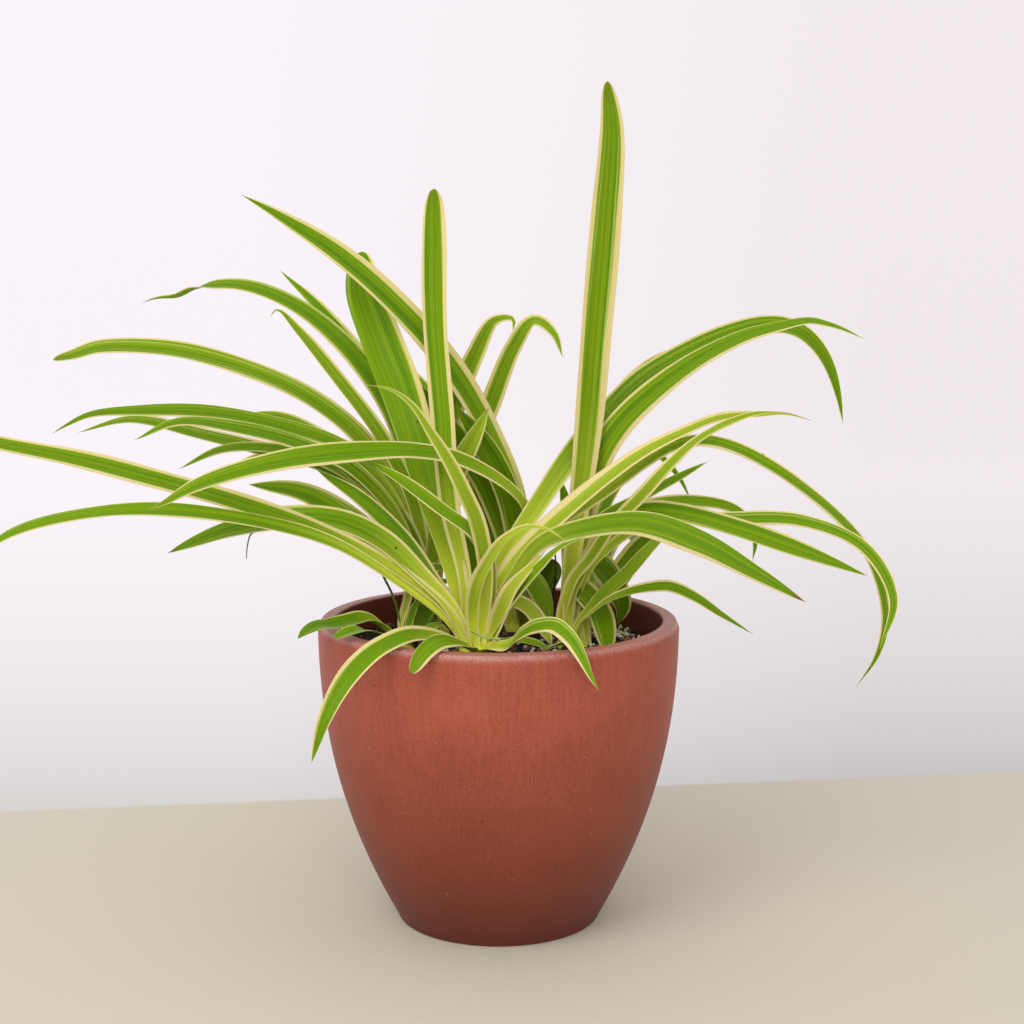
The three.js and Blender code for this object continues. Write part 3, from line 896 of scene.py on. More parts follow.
@dataclass
class Rosette:
    """One crown and the leaves that grew from it, as one piece.

    The stock is the outline of the short crown that the leaves stand on, as radii and heights over the soil,
    and it is coloured as the middle of a blade's base. A leaf's seed is drawn from as many as seeds says.
    """

    name: str
    crown: Pair
    seed: int
    leaves: tuple[Leaf, ...]
    stock: tuple[Pair, ...] = ((6.3, -10.0), (8.3, -2.0), (7.3, 1.0), (5.3, 3.2), (2.0, 4.5))
    stock_look: LeafLook = LeafLook(0.9, 0.9, pale=0.8, dry_tip=0.0, tone=0.8)
    stock_map: Pair = (0.5, 0.0)
    sides: int = 32
    seeds: int = 100000

    def build(self, finish: bpy.types.Material) -> bpy.types.Object:
        """Make the rosette's piece.

        Args:
            finish: the leaf material.

        Returns:
            The object.
        """
        rng = np.random.default_rng(self.seed)
        vertices = turned(self.stock, self.sides) + (*self.crown, SOIL_LEVEL)
        faces = ring_faces(len(self.stock), self.sides, closed=True)
        count = len(vertices)
        stock_map = np.tile(self.stock_map, (count, 1))
        parts = [(vertices, stock_map, np.zeros(count), *self.stock_look.rows(0, count))]
        for leaf in self.leaves:
            seed = int(rng.integers(1, self.seeds))
            look = LOOKS.get(leaf.name, LeafLook.common(rng.uniform(-1, 1, 3)))
            points, quads, blade_map, under = Blade(leaf, self.crown, seed).build()
            faces += [tuple(v + count for v in quad) for quad in quads]
            count += len(points)
            parts.append((points, blade_map, under, *look.rows(seed, len(points))))
        vertices, maps, unders, looks, kinds = (np.concatenate(part) for part in zip(*parts))
        piece = new_mesh(self.name + "_leaves", vertices, faces, finish)
        loops = np.empty(len(piece.data.loops), dtype=np.int32)
        piece.data.loops.foreach_get("vertex_index", loops)
        piece.data.uv_layers.new(name="blade").data.foreach_set("uv", maps[loops].ravel())
        for name, values in (("look", looks), ("kind", kinds), ("under", unders)):
            add_values(piece, name, values)
        return seat(piece, "leaf", self.name)


@dataclass
class Pot:
    """The pot: an open bowl with an egg-shaped side, a rounded rim and a flat foot.

    The lip is how far the rim's outer rounding lies inwards and down from its corner, point by point. The
    side's rows keep a gap over the foot's edge and under the lip. The painted shade inside, a darker colour,
    begins and is full at two rows of vertices, counted from the top row of the inner wall.
    """

    height: float = 127.0
    rim_radius: float = 75.0
    foot_radius: float = 42.0
    side_curve: float = 2.2
    wall: float = 7.0
    floor: float = 7.0
    foot_edge: float = 1.5
    bend_step: int = 15
    side_gaps: Pair = (1.5, 0.5)
    lip: tuple[Pair, ...] = ((0.0, 3.4), (0.15, 2.9), (0.6, 1.7), (1.05, 0.7), (1.45, 0.25), (2.1, 0.0))
    inner_round: float = 0.9
    inner_span: Pair = (12.0, 123.0)
    inner_corner: float = 2.0
    painted_shade_rows: Pair = (-6.0, -2.0)
    sides: int = 144
    rows: int = 44
    crease: float = 40.0

    def radius(self, z: float) -> float:
        """Return the outer radius at a height."""
        drawn_in = (1 - z / self.height) ** self.side_curve
        return self.rim_radius - (self.rim_radius - self.foot_radius) * drawn_in

    def profiles(self) -> tuple[list[Pair], list[Pair]]:
        """Draw the profile that is turned.

        Returns:
            Radii and heights up the outside and over the rim, and those down the inside.
        """
        quarter = [math.radians(a) for a in range(0, 91, self.bend_step)]
        edge, rim = self.foot_edge, self.inner_round
        outer = [(self.radius(edge) - edge * (1 - math.sin(a)), edge * (1 - math.cos(a))) for a in quarter]
        above, under = self.side_gaps
        heights = np.linspace(edge + above, self.height - self.lip[0][1] - under, self.rows)
        outer += [(self.radius(z), float(z)) for z in heights]
        outer += [(self.rim_radius - inwards, self.height - down) for inwards, down in self.lip]
        corner = self.rim_radius - self.wall + rim
        outer += [(corner - rim * math.sin(a), self.height - rim * (1 - math.cos(a))) for a in quarter]
        low, high = self.inner_span
        inner = [(self.radius(z) - self.wall, float(z)) for z in heights[::-1] if low < z < high]
        inner.append((self.radius(self.floor) - self.wall - self.inner_corner, self.floor))
        return outer, inner

    def build(self, finish: bpy.types.Material) -> bpy.types.Object:
        """Make the pot's piece.

        Args:
            finish: the ceramic material.

        Returns:
            The object.
        """
        outer, inner = self.profiles()
        count, n = len(outer) + len(inner), self.sides
        vertices = np.vstack([turned(outer + inner, n), [(0, 0, 0)], [(0, 0, self.floor)]])
        under, inside, last = len(vertices) - 2, len(vertices) - 1, (count - 1) * n
        faces = ring_faces(count, n)
        faces += [(under, (i + 1) % n, i) for i in range(n)]
        faces += [(inside, last + i, last + (i + 1) % n) for i in range(n)]
        piece = new_mesh("stoneware_pot", vertices, faces, finish, self.crease)
        # The inside attribute marks where the painted shade inside is laid.
        row = np.arange(len(vertices)) // n - float(len(outer))
        add_values(piece, "inside", smooth(row, *self.painted_shade_rows))
        return seat(piece, "pot", "pot")


@dataclass(frozen=True)
class ScatterTree:
    """The tree that scatters uneven grains over a surface, in patches, thinner at the left where asked.

    The scales are per metre, and lean_range is where the left ends and the right is full, in metres across.
    """

    name: str = "scatter_grains"
    patch_scale: float = 55.0
    patch_range: Pair = (0.42, 0.56)
    bare_share: float = 0.15
    lean_range: Pair = (-0.005, 0.04)
    roundness: float = 0.75
    rough_scale: float = 900.0
    rough_gain: float = 4.0
    cuts: int = 3
    full_turn: float = 6.283
    sockets: tuple[tuple[str, str], ...] = (
        ("Surface", "Geometry"),
        ("Density", "Float"),
        ("Seed", "Int"),
        ("Smallest", "Float"),
        ("Largest", "Float"),
        ("Shape", "Vector"),
        ("Unevenness", "Float"),
        ("Left Share", "Float"),
        ("Finish", "Material"),
    )

    def get(self) -> bpy.types.NodeTree:
        """Build the tree, once.

        Returns:
            The tree.
        """
        if self.name in bpy.data.node_groups:
            return bpy.data.node_groups[self.name]
        tree = bpy.data.node_groups.new(self.name, "GeometryNodeTree")
        for label, kind in self.sockets:
            tree.interface.new_socket(label, in_out="INPUT", socket_type="NodeSocket" + kind)
        tree.interface.new_socket("Grains", in_out="OUTPUT", socket_type="NodeSocketGeometry")
        given = add_node(tree, "NodeGroupInput")

        # Where the grains lie: in patches, and thinner at one side by the left share.
        patches = add_node(tree, "ShaderNodeTexNoise", {"Scale": self.patch_scale, "Detail": 1.0})[0]
        at = add_node(tree, "GeometryNodeInputPosition")[0]
        right = add_node(tree, "ShaderNodeSeparateXYZ", {0: at})[0]
        share, lean = (
            add_node(
                tree,
                "ShaderNodeMapRange",
                {"Value": value, "From Min": low, "From Max": full, "To Min": least},
            )[0]
            for value, (low, full), least in (
                (patches, self.patch_range, self.bare_share),
                (right, self.lean_range, given["Left Share"]),
            )
        )
        share = add_node(tree, "ShaderNodeMath", {0: share, 1: lean}, operation="MULTIPLY")[0]
        thick = add_node(tree, "ShaderNodeMath", {0: given["Density"], 1: share}, operation="MULTIPLY")[0]
        points = add_node(
            tree,
            "GeometryNodeDistributePointsOnFaces",
            {"Mesh": given["Surface"], "Density": thick, "Seed": given["Seed"]},
        )["Points"]

        # One grain: a block of a few faces whose corners are drawn in, stretched to its shape.
        cuts = {f"Vertices {axis}": self.cuts for axis in "XYZ"}
        block = add_node(tree, "GeometryNodeMeshCube", {"Size": (2.0, 2.0, 2.0), **cuts})["Mesh"]
        ball = add_node(tree, "ShaderNodeVectorMath", {0: at}, operation="NORMALIZE")[0]
        inwards = add_node(tree, "ShaderNodeVectorMath", {0: ball, 1: at}, operation="SUBTRACT")[0]
        inwards = add_node(
            tree, "ShaderNodeVectorMath", {0: inwards, "Scale": self.roundness}, operation="SCALE"
        )[0]
        pebble = add_node(tree, "GeometryNodeSetPosition", {"Geometry": block, "Offset": inwards})[0]
        grain = add_node(tree, "GeometryNodeTransform", {"Geometry": pebble, "Scale": given["Shape"]})[0]
        turn = add_node(
            tree,
            "FunctionNodeRandomValue",
            {0: (0.0, 0.0, 0.0), 1: (self.full_turn,) * 3},
            data_type="FLOAT_VECTOR",
        )[0]
        size = add_node(
            tree,
            "FunctionNodeRandomValue",
            {2: given["Smallest"], 3: given["Largest"], "Seed": given["Seed"]},
            data_type="FLOAT",
        )[1]
        placed = add_node(
            tree,
            "GeometryNodeInstanceOnPoints",
            {"Points": points, "Instance": grain, "Rotation": turn, "Scale": size},
        )[0]
        real = add_node(tree, "GeometryNodeRealizeInstances", {0: placed})[0]

        # Every grain is then pushed about, so that no two are alike.
        rough = add_node(tree, "ShaderNodeTexNoise", {"Scale": self.rough_scale, "Detail": 2.0})
        centred = {0: rough["Color"], 1: (0.5, 0.5, 0.5)}
        push = add_node(tree, "ShaderNodeVectorMath", centred, operation="SUBTRACT")[0]
        for scale in (given["Unevenness"], self.rough_gain):
            push = add_node(tree, "ShaderNodeVectorMath", {0: push, "Scale": scale}, operation="SCALE")[0]
        moved = add_node(tree, "GeometryNodeSetPosition", {"Geometry": real, "Offset": push})[0]
        flat = add_node(tree, "GeometryNodeSetShadeSmooth", {0: moved, "Shade Smooth": False})[0]
        dressed = add_node(tree, "GeometryNodeSetMaterial", {0: flat, "Material": given["Finish"]})[0]
        add_node(tree, "NodeGroupOutput", {0: dressed})
        return tree


@dataclass(frozen=True)
class Scatter:
    """One kind of grain that lies on the potting mix.

    density is how many lie on a square metre, sizes are the smallest and the largest radius in millimetres,
    and shape is how a grain is stretched along its own three axes. left_share is how many lie at the left,
    as a part of those at the right.
    """

    name: str
    grain: Grain
    density: float
    sizes: Pair
    shape: Place
    left_share: float = 1.0
    unevenness: float = 0.45

    def build(self, bare: bpy.types.Object, seed: int) -> bpy.types.Object:
        """Scatter the grains with Geometry Nodes.

        Args:
            bare: the surface's object.
            seed: the random seed.

        Returns:
            The realised piece.
        """
        tree = ScatterTree().get()
        host = add_object("host", bare.data.copy())
        modifier = host.modifiers.new("scatter", "NODES")
        modifier.node_group = tree
        values = {
            "Density": self.density,
            "Seed": seed,
            "Smallest": self.sizes[0] * MM,
            "Largest": self.sizes[1] * MM,
            "Shape": self.shape,
            "Unevenness": self.unevenness * self.sizes[0] * MM,
            "Left Share": self.left_share,
            "Finish": self.grain.value.make(),
        }
        for item in tree.interface.items_tree:
            if item.item_type == "SOCKET" and item.in_out == "INPUT" and item.name in values:
                modifier[item.identifier] = values[item.name]
        bpy.context.view_layer.update()
        seen = host.evaluated_get(bpy.context.evaluated_depsgraph_get())
        mesh = bpy.data.meshes.new_from_object(seen)
        mesh.name = self.name
        bpy.data.objects.remove(host)
        return seat(add_object(self.name, mesh), "soil")


@dataclass
class Soil:
    """The potting mix: a lumpy fill with crumbs of peat, chips of bark and grains of perlite on it.

    A wave of its surface is its height, how fast it runs across and back, and where it starts. The body's
    heights are those of the rings under the surface, and the foot is drawn in under the last of them.
    """

    pot: Pot
    gap: float = 0.45
    rings: int = 60
    sides: int = 150
    edge: float = 8.0
    relief: float = 1.1
    waves: tuple[tuple[float, float, float, float], ...] = (
        (0.4, 0.31, -0.12, 1.3),
        (0.3, 0.09, 0.27, 4.1),
        (0.3, 0.63, 0.71, 2.1),
    )
    lumps: float = 0.9
    lump_scale: float = 0.3
    lump_detail: tuple[float, float, int] = (1.0, 2.2, 4)
    body: tuple[float, ...] = (100.0, 80.0, 60.0, 40.0, 24.0, 14.0)
    foot_gap: float = 3.0
    crease: float = 60.0
    scatters: tuple[Scatter, ...] = (
        Scatter("peat_crumbs", Grain.CRUMB, 150000.0, (0.5, 1.3), (1.0, 0.8, 0.7)),
        Scatter("bark_chips", Grain.BARK, 42000.0, (0.9, 2.6), (1.3, 0.7, 0.35)),
        Scatter("perlite_grains", Grain.PERLITE, 90000.0, (0.8, 1.8), (1.0, 0.66, 0.5), left_share=0.3),
    )
    first_seed: int = 3

    def radius(self, z: float) -> float:
        """Return the fill's radius at a height."""
        return self.pot.radius(z) - self.pot.wall - self.gap

    def surface(self, x: np.ndarray, y: np.ndarray) -> np.ndarray:
        """Work out how high the soil is at places.

        Args:
            x: across.
            y: back.

        Returns:
            The heights.
        """
        wave = sum(h * np.sin(a * x + b * y + start) for h, a, b, start in self.waves)
        inside = np.clip((self.radius(SOIL_LEVEL) - np.hypot(x, y)) / self.edge, 0.0, 1.0)
        places = (Vector((a * self.lump_scale, b * self.lump_scale, 0.0)) for a, b in zip(x, y))
        lump = np.array([noise.fractal(place, *self.lump_detail) for place in places])
        return SOIL_LEVEL + self.relief * wave * inside + self.lumps * lump

    def disc(self) -> tuple[np.ndarray, Faces]:
        """Make the surface alone.

        Returns:
            Its vertices and faces.
        """
        top, n = self.radius(SOIL_LEVEL), self.sides
        radii = np.linspace(top / self.rings, top, self.rings)
        x, y, _ = np.vstack([np.zeros((1, 3)), turned([(r, 0.0) for r in radii], n)]).T
        faces: Faces = [(0, 1 + i, 1 + (i + 1) % n) for i in range(n)]
        faces += ring_faces(self.rings, n, first=1, flip=True)
        return np.column_stack([x, y, self.surface(x, y)]), faces

    def build(self, finish: bpy.types.Material) -> list[bpy.types.Object]:
        """Make the fill and what is scattered on it.

        Args:
            finish: the potting mix's material.

        Returns:
            The scattered pieces and the fill.
        """
        vertices, faces = self.disc()
        bare = new_mesh("soil_top", vertices, faces, finish, None)
        pieces = [kind.build(bare, seed) for seed, kind in enumerate(self.scatters, self.first_seed)]
        bpy.data.objects.remove(bare)
        n, floor = self.sides, self.pot.floor
        profile = [(self.radius(z), z) for z in self.body]
        profile.append((self.pot.radius(floor) - self.pot.wall - self.foot_gap, floor + self.gap))
        faces += ring_faces(len(profile) + 1, n, first=len(vertices) - n, flip=True)
        vertices = np.vstack([vertices, turned(profile, n)])
        faces.append(tuple(reversed(range(len(vertices) - n, len(vertices)))))
        piece = new_mesh("potting_mix", vertices, faces, finish, self.crease)
        return [*pieces, seat(piece, "soil", "soil")]


@dataclass(frozen=True)
class Strand:
    """One thin round strand: its finish, its radius at both ends, and the places that it runs through.

    samples is how many sections each stretch gets. aside is any direction that it never runs in.
    """

    name: str
    grain: Grain
    radii: Pair
    places: tuple[Place, ...]
    samples: int = 8
    sides: int = 8
    crease: float = 60.0
    aside: Place = (0.3, 1.0, 0.2)

    def build(self) -> bpy.types.Object:
        """Make the strand as a closed tapered tube.

        Returns:
            Its object.
        """
        path = through(np.array(self.places, dtype=float), self.samples)
        slope = np.gradient(path, axis=0)
        slope /= np.linalg.norm(slope, axis=1, keepdims=True)
        beside = np.cross(slope, self.aside)
        beside /= np.linalg.norm(beside, axis=1, keepdims=True)
        above = np.cross(slope, beside)
        radius = np.linspace(*self.radii, len(path))[:, None]
        turns = np.linspace(0, 2 * math.pi, self.sides, endpoint=False)
        rings = [path + radius * (beside * math.cos(a) + above * math.sin(a)) for a in turns]
        vertices = np.stack(rings, axis=1).reshape(-1, 3)
        faces = ring_faces(len(path), self.sides, closed=True)
        piece = new_mesh(self.name, vertices, faces, self.grain.value.make(), self.crease)
        return seat(piece, "leaf")


@dataclass(frozen=True)
class Lamp:
    """One round soft lamp that is aimed at the plant."""

    name: str
    place: Place
    size: float
    power: float
    colour: str
    target: Place = (0.0, 0.0, 130.0)

    def build(self) -> None:
        """Make the lamp."""
        data = bpy.data.lights.new(self.name, "AREA")
        data.shape = "DISK"
        data.size = self.size * MM
        data.energy = self.power
        data.color = linear(self.colour)[:3]
        lamp = add_object(self.name, data)
        lamp.location = Vector(self.place) * MM
        aim = Vector(self.target) * MM - lamp.location
        lamp.rotation_euler = aim.to_track_quat("-Z", "Y").to_euler()


@dataclass(frozen=True)
class Studio:
    """The plain pale floor and backdrop, the soft lights and the camera.

    The floor ends at a line behind the pot, which floor_turn slants. Behind it everything glows between a low
    and a high pair of colours, the left one and the right one of each.
    """

    camera_place: Place = (5.56, -721.0, 271.4)
    camera_pitch: float = 7.91
    focal_pixels: float = 1760.0
    picture_pixels: float = 1024.0
    sensor: float = 36.0
    floor_edge: float = 169.0
    floor_turn: float = 0.1323
    cove_from: float = 1500.0
    cove_radius: float = 900.0
    cove_top: float = 3200.0
    half_width: float = 4200.0
    front: float = -4200.0
    card: tuple[str, str] = ("#D3CEB9", "#DBD6C1")
    card_grain: float = 700.0
    low_glow: tuple[str, str] = ("#D4D0CE", "#B8B4B4")
    high_glow: tuple[str, str] = ("#FDF6FD", "#F5EDF0")
    edge_blur: Pair = (-0.002, 0.003)
    aside_range: Pair = (-0.14, 0.2)
    eye_distance: float = 0.8
    climb_range: Pair = (0.49, 1.0)
    climb_half: float = 0.15
    roughness: float = 0.75
    gloss: float = 0.2
    sky: str = "#FBF8FF"
    sky_strength: float = 0.72
    lamps: tuple[Lamp, ...] = (
        Lamp("key", (-820.0, -1200.0, 1430.0), 1300.0, 12.2, "#FFFAF4"),
        Lamp("fill", (150.0, -1650.0, 860.0), 900.0, 6.4, "#FFFCF8"),
    )

    def build(self) -> None:
        """Make everything that isn't part of the object."""
        bpy.context.scene.view_settings.view_transform = "Standard"
        self.camera()
        self.cove()
        self.lights()

    def camera(self) -> None:
        """Place the camera as the photograph's was."""
        data = bpy.data.cameras.new("camera")
        data.sensor_width = self.sensor
        data.lens = self.focal_pixels / self.picture_pixels * self.sensor
        camera = add_object("camera", data)
        camera.location = Vector(self.camera_place) * MM
        camera.rotation_euler = (math.radians(90 - self.camera_pitch), 0.0, 0.0)
        bpy.context.scene.camera = camera

    def cove(self) -> None:
        """Make a floor that curves up into a backdrop far behind."""
        start, radius = self.cove_from, self.cove_radius
        bends = [math.radians(turn) for turn in range(10, 91, 10)]
        profile = [(self.front, 0.0), (start, 0.0)]
        profile += [(start + radius * math.sin(a), radius * (1 - math.cos(a))) for a in bends]
        profile.append((start + radius, self.cove_top))
        vertices = [(x, y, z) for y, z in profile for x in (-self.half_width, self.half_width)]
        faces: Faces = [(2 * i, 2 * i + 1, 2 * i + 3, 2 * i + 2) for i in range(len(profile) - 1)]
        new_mesh("studio_floor", np.array(vertices), faces, self.cove_finish(), None)

    def cove_finish(self) -> bpy.types.Material:
        """Build the floor's material: beige card in front, and a pale lit backdrop behind its far edge.

        Returns:
            The material.
        """
        material, tree, shader = new_material("beige_floor_and_pale_backdrop")
        place = add_node(tree, "ShaderNodeTexCoord")["Object"]
        x, y, z = add_node(tree, "ShaderNodeSeparateXYZ", {0: place})
        edge = {0: x, 1: self.floor_turn, 2: self.floor_edge * MM}
        edge = add_node(tree, "ShaderNodeMath", edge, operation="MULTIPLY_ADD")[0]
        past, away, climb = (
            add_node(tree, "ShaderNodeMath", {0: one, 1: other}, operation=operation)[0]
            for one, other, operation in ((y, edge, "SUBTRACT"), (y, self.eye_distance, "ADD"), (y, z, "ADD"))
        )
        further = add_node(tree, "ShaderNodeMath", {0: climb, 1: self.climb_half}, operation="ADD")[0]
        aside, share = (
            add_node(tree, "ShaderNodeMath", {0: one, 1: other}, operation="DIVIDE")[0]
            for one, other in ((x, away), (climb, further))
        )
        behind, right, high_up = (
            add_node(
                tree,
                "ShaderNodeMapRange",
                {"Value": value, "From Min": low, "From Max": full},
                interpolation_type=kind,
            )[0]
            for value, (low, full), kind in (
                (past, self.edge_blur, "SMOOTHSTEP"),
                (aside, self.aside_range, "LINEAR"),
                (share, self.climb_range, "LINEAR"),
            )
        )
        grain = add_node(
            tree, "ShaderNodeTexNoise", {"Vector": place, "Scale": self.card_grain, "Detail": 2.0}
        )[0]
        card, low_glow, high_glow = (
            lay_over(tree, one, [(amount, other)])
            for amount, (one, other) in ((grain, self.card), (right, self.low_glow), (right, self.high_glow))
        )
        surface = {
            "Base Color": lay_over(tree, card, [(behind, "#000000")]),
            "Emission Color": lay_over(tree, low_glow, [(high_up, high_glow)]),
            "Emission Strength": behind,
            "Roughness": self.roughness,
            "Specular IOR Level": self.gloss,
        }
        feed(tree, shader, surface)
        return material

    def lights(self) -> None:
        """Make the soft sky, a large soft key from the upper left front, and a weak fill."""
        world = bpy.data.worlds.new("soft_sky")
        bpy.context.scene.world = world
        world.use_nodes = True
        sky = world.node_tree.nodes["Background"]
        feed(world.node_tree, sky, {0: linear(self.sky), 1: self.sky_strength})
        for lamp in self.lamps:
            lamp.build()


# How each leaf that shows clearly is coloured. A leaf's lightness here is partly its own colour and partly
# painted light and shade, which makes it lighter or darker for how the light falls on it. The others get a
# common look.
LOOKS: dict[str, LeafLook] = {
    "bent_small": LeafLook(0.6, 0.6, pale=0.12),
    "bent_large": LeafLook(0.6, 0.6, pale=0.12),
    "leans_right": LeafLook(0.86, 0.72, pale=0.3, tone=1.12),
    "tallest": LeafLook(0.67, 0.57, tone=0.88),
    "blunt_upright": LeafLook(0.7, 0.55, tone=0.97),
    "broad_back_left": LeafLook(0.94, 0.66, tone=0.98, dry_tip=0.0),
    "high_left": LeafLook(0.66, 0.54, tone=0.98),
    "back_edge": LeafLook(0.8, 0.6),
    "hooked_tip": LeafLook(0.84, 0.62, pale=0.15),
    "left_high": LeafLook(0.76, 0.86, tone=0.92),
    "left_long": LeafLook(0.72, 0.74, tone=0.94),
    "left_middle": LeafLook(0.74, 0.9, tone=0.88),
    "left_middle_front": LeafLook(0.72, 0.88, tone=0.92),
    "long_left_upper": LeafLook(0.64, 0.66, tone=0.94),
    "long_left_lower": LeafLook(0.76, 0.88),
    "left_brown_tip": LeafLook(0.78, 0.82, dry_tip=0.55),
    "left_broad": LeafLook(0.76, 0.8, tone=0.9),
    "left_short": LeafLook(0.7, 0.76),
    "sweeps_left": LeafLook(0.7, 0.8, tone=0.97),
    "front_bowed": LeafLook(0.72, 0.62, pale=0.3),
    "spear_high": LeafLook(0.74, 0.74),
    "pale_right": LeafLook(0.42, 0.7, pale=0.35),
    "right_slender": LeafLook(0.6, 0.62, pale=0.25),
    "right_small": LeafLook(0.86, 0.66),
    "right_inner": LeafLook(0.6, 0.6, pale=0.6),
    "right_front_arch": LeafLook(0.92, 0.66, dry_tip=0.9, tone=0.86),
    "right_level": LeafLook(0.76, 0.8, tone=0.9),
    "right_hanging": LeafLook(0.76, 0.66),
    "right_far_hanging": LeafLook(0.74, 0.6),
    "bends_down": LeafLook(0.84, 0.8, tone=0.92),
    "long_right": LeafLook(0.86, 0.58, tone=0.92),
    "front_hook": LeafLook(0.52, 0.86, pale=0.5),
    "low_over_rim": LeafLook(0.68, 0.8),
    "dark_left": LeafLook(0.8, 0.84, tone=0.8),
    "dark_broad": LeafLook(0.88, 0.88, tone=0.68),
    "dark_middle": LeafLook(0.8, 0.84, tone=0.8),
    "small_dark": LeafLook(0.95, 0.95, tone=0.8),
    "small_over_rim": LeafLook(0.95, 0.92, tone=0.92),
    "small_side": LeafLook(0.9, 0.95, tone=0.95),
    "small_stem": LeafLook(0.3, 0.5, pale=0.6),
    "curled_dark": LeafLook(0.95, 0.95, tone=0.7, dry_tip=0.6),
    "inner_short": LeafLook(0.9, 0.86, tone=0.82),
    "inner_dip": LeafLook(0.66, 0.66, pale=0.5),
    "dips_behind": LeafLook(0.74, 0.74, tone=0.8),
    "dips_into_pot": LeafLook(0.72, 0.74, tone=0.82),
    "short_right": LeafLook(0.9, 0.9, pale=0.15),
    "short_back": LeafLook(0.62, 0.9, tone=0.85),
    "over_rim_left": LeafLook(0.78, 0.62),
    "over_rim_short": LeafLook(0.62, 0.86, tone=0.95),
    "over_rim_right": LeafLook(0.84, 0.5),
}

# The leaves, crown by crown.
FRONT_LEAVES = (
    Leaf("long_left_upper", 10.5, (-25, -50), ((-20, 130), (-40, 148), (-72, 166), (-103, 178), (-133, 188),
        (-163, 197), (-192, 204), (-210, 209)), tip=6),
    Leaf("long_left_lower", 7.5, (-35, -80), ((-21, 127), (-40, 144), (-64, 161), (-94, 172), (-124, 178),
        (-152, 179), (-179, 174), (-196, 164)), tip=5),
    Leaf("left_brown_tip", 12.5, (-10, -6), ((-19, 131), (-32, 146), (-48, 161), (-65, 169), (-85, 170),
        (-110, 165), (-129, 158), (-136, 155)), tip=5),
    Leaf("left_broad", 13, (0, 6), ((-19, 128), (-33, 141), (-49, 157), (-66, 171), (-82, 179),
        (-104, 182))),
    Leaf("left_short", 9, (0, 4), ((-18, 130), (-28, 143), (-41, 161), (-57, 176), (-75, 188))),
    Leaf("front_rib", 7, (-22, -26), ((-3, 141), (-7, 162), (-23, 176), (-39, 188), (-53, 196))),
    Leaf("broad_back_left", 18, (9, 32), ((-14, 130), (-20, 154), (-28, 180), (-40, 219), (-49, 241),
        (-57, 263), (-58, 278)), faces=(270, 10), tip=8, base=0.5, widest=0.65),
    Leaf("blunt_upright", 10.5, (2, 3), ((-14, 144), (-20, 173), (-23, 210), (-26, 250), (-26, 282),
        (-26, 303)), faces=(270, 5), tip=14),
    Leaf("pale_right", 9.5, (-22, -8), ((-6, 129), (-2, 141), (6, 153), (17, 165), (31, 178), (43, 188),
        (57, 198), (73, 206), (89, 212), (105, 213), (116, 213), (127, 210)), tip=1.2, base=0.75,
        widest=0.3, turn=(55, 0.72, 0.9)),
    Leaf("front_hook", 6.5, (-30, -48), ((-11, 133), (-9, 145), (-4, 156), (2, 165), (11, 171), (18, 171),
        (24, 168), (28, 165)), faces=(280, 35), tip=1, base=0.9, widest=0.3),
    Leaf("right_far_hanging", 7.5, (-14, 30), ((0, 139), (17, 162), (41, 180), (73, 201), (90, 201),
        (123, 183), (151, 157), (164, 126), (163, 106), (156, 90)), tip=3, base=0.7),
    Leaf("right_front_arch", 14.5, (-42, -82), ((-1, 133), (7, 148), (17, 162), (32, 169), (55, 173),
        (77, 167), (98, 157), (114, 149)), tip=3.2, base=0.35, widest=0.62),
    Leaf("right_small", 7, (-32, -46), ((-2, 124), (4, 137), (10, 146), (17, 155), (24, 163), (34, 168)),
        tip=1.8, base=0.7, widest=0.4),
    Leaf("right_inner", 8.5, (-28, -36), ((-3, 122), (1, 134), (5, 144), (12, 153), (19, 161)),
        faces=(270, 40), tip=1.6, base=0.85, widest=0.3),
    Leaf("front_bowed", 7.5, (-30, -48), ((-5, 148), (-8, 170), (-13, 183), (-19, 196), (-26, 208),
        (-33, 219), (-41, 225), (-50, 227)), faces=(270, 20), tip=1.4, base=0.8, widest=0.3),
    Leaf("spear_high", 5.5, (-20, -20), ((-3, 141), (-4, 153), (-9, 163), (-19, 173), (-28, 180),
        (-41, 188), (-55, 195)), tip=3),
    Leaf("inner_dip", 8, (-8, -14), ((0, 128), (6, 135), (12, 133), (17, 127), (22, 118))),
    Leaf("bends_down", 12, (11, 45), ((-5, 135), (4, 155), (17, 175), (32, 196), (46, 211), (61, 225),
        (84, 238), (99, 244), (111, 247), (121, 247), (129, 244), (136, 238), (142, 229), (147, 216),
        (150, 204)), faces=(270, 32), tip=3),
    Leaf("over_rim_right", 8.5, (-57, -80), ((-3, 119), (4, 122), (9, 129), (15, 134), (22, 136), (28, 132),
        (32, 126), (35, 120), (38, 115)), faces=(225, 45), tip=2.6, base=0.6),
    Leaf("over_rim_left", 8.5, (-70, -86), ((-17, 122), (-25, 128), (-34, 131), (-41, 130), (-48, 127),
        (-55, 121), (-60, 114), (-65, 103), (-69, 89)), faces=(310, 50)),
    Leaf("over_rim_short", 8, (-58, -77), ((-13, 124), (-18, 129), (-23, 130), (-28, 127), (-32, 121)),
        faces=(300, 55), tip=7),
    Leaf("low_sprig", 5, (-24, -34), ((-1, 120), (4, 122), (10, 123), (17, 122), (21, 120)),
        faces=(270, 60)),
)

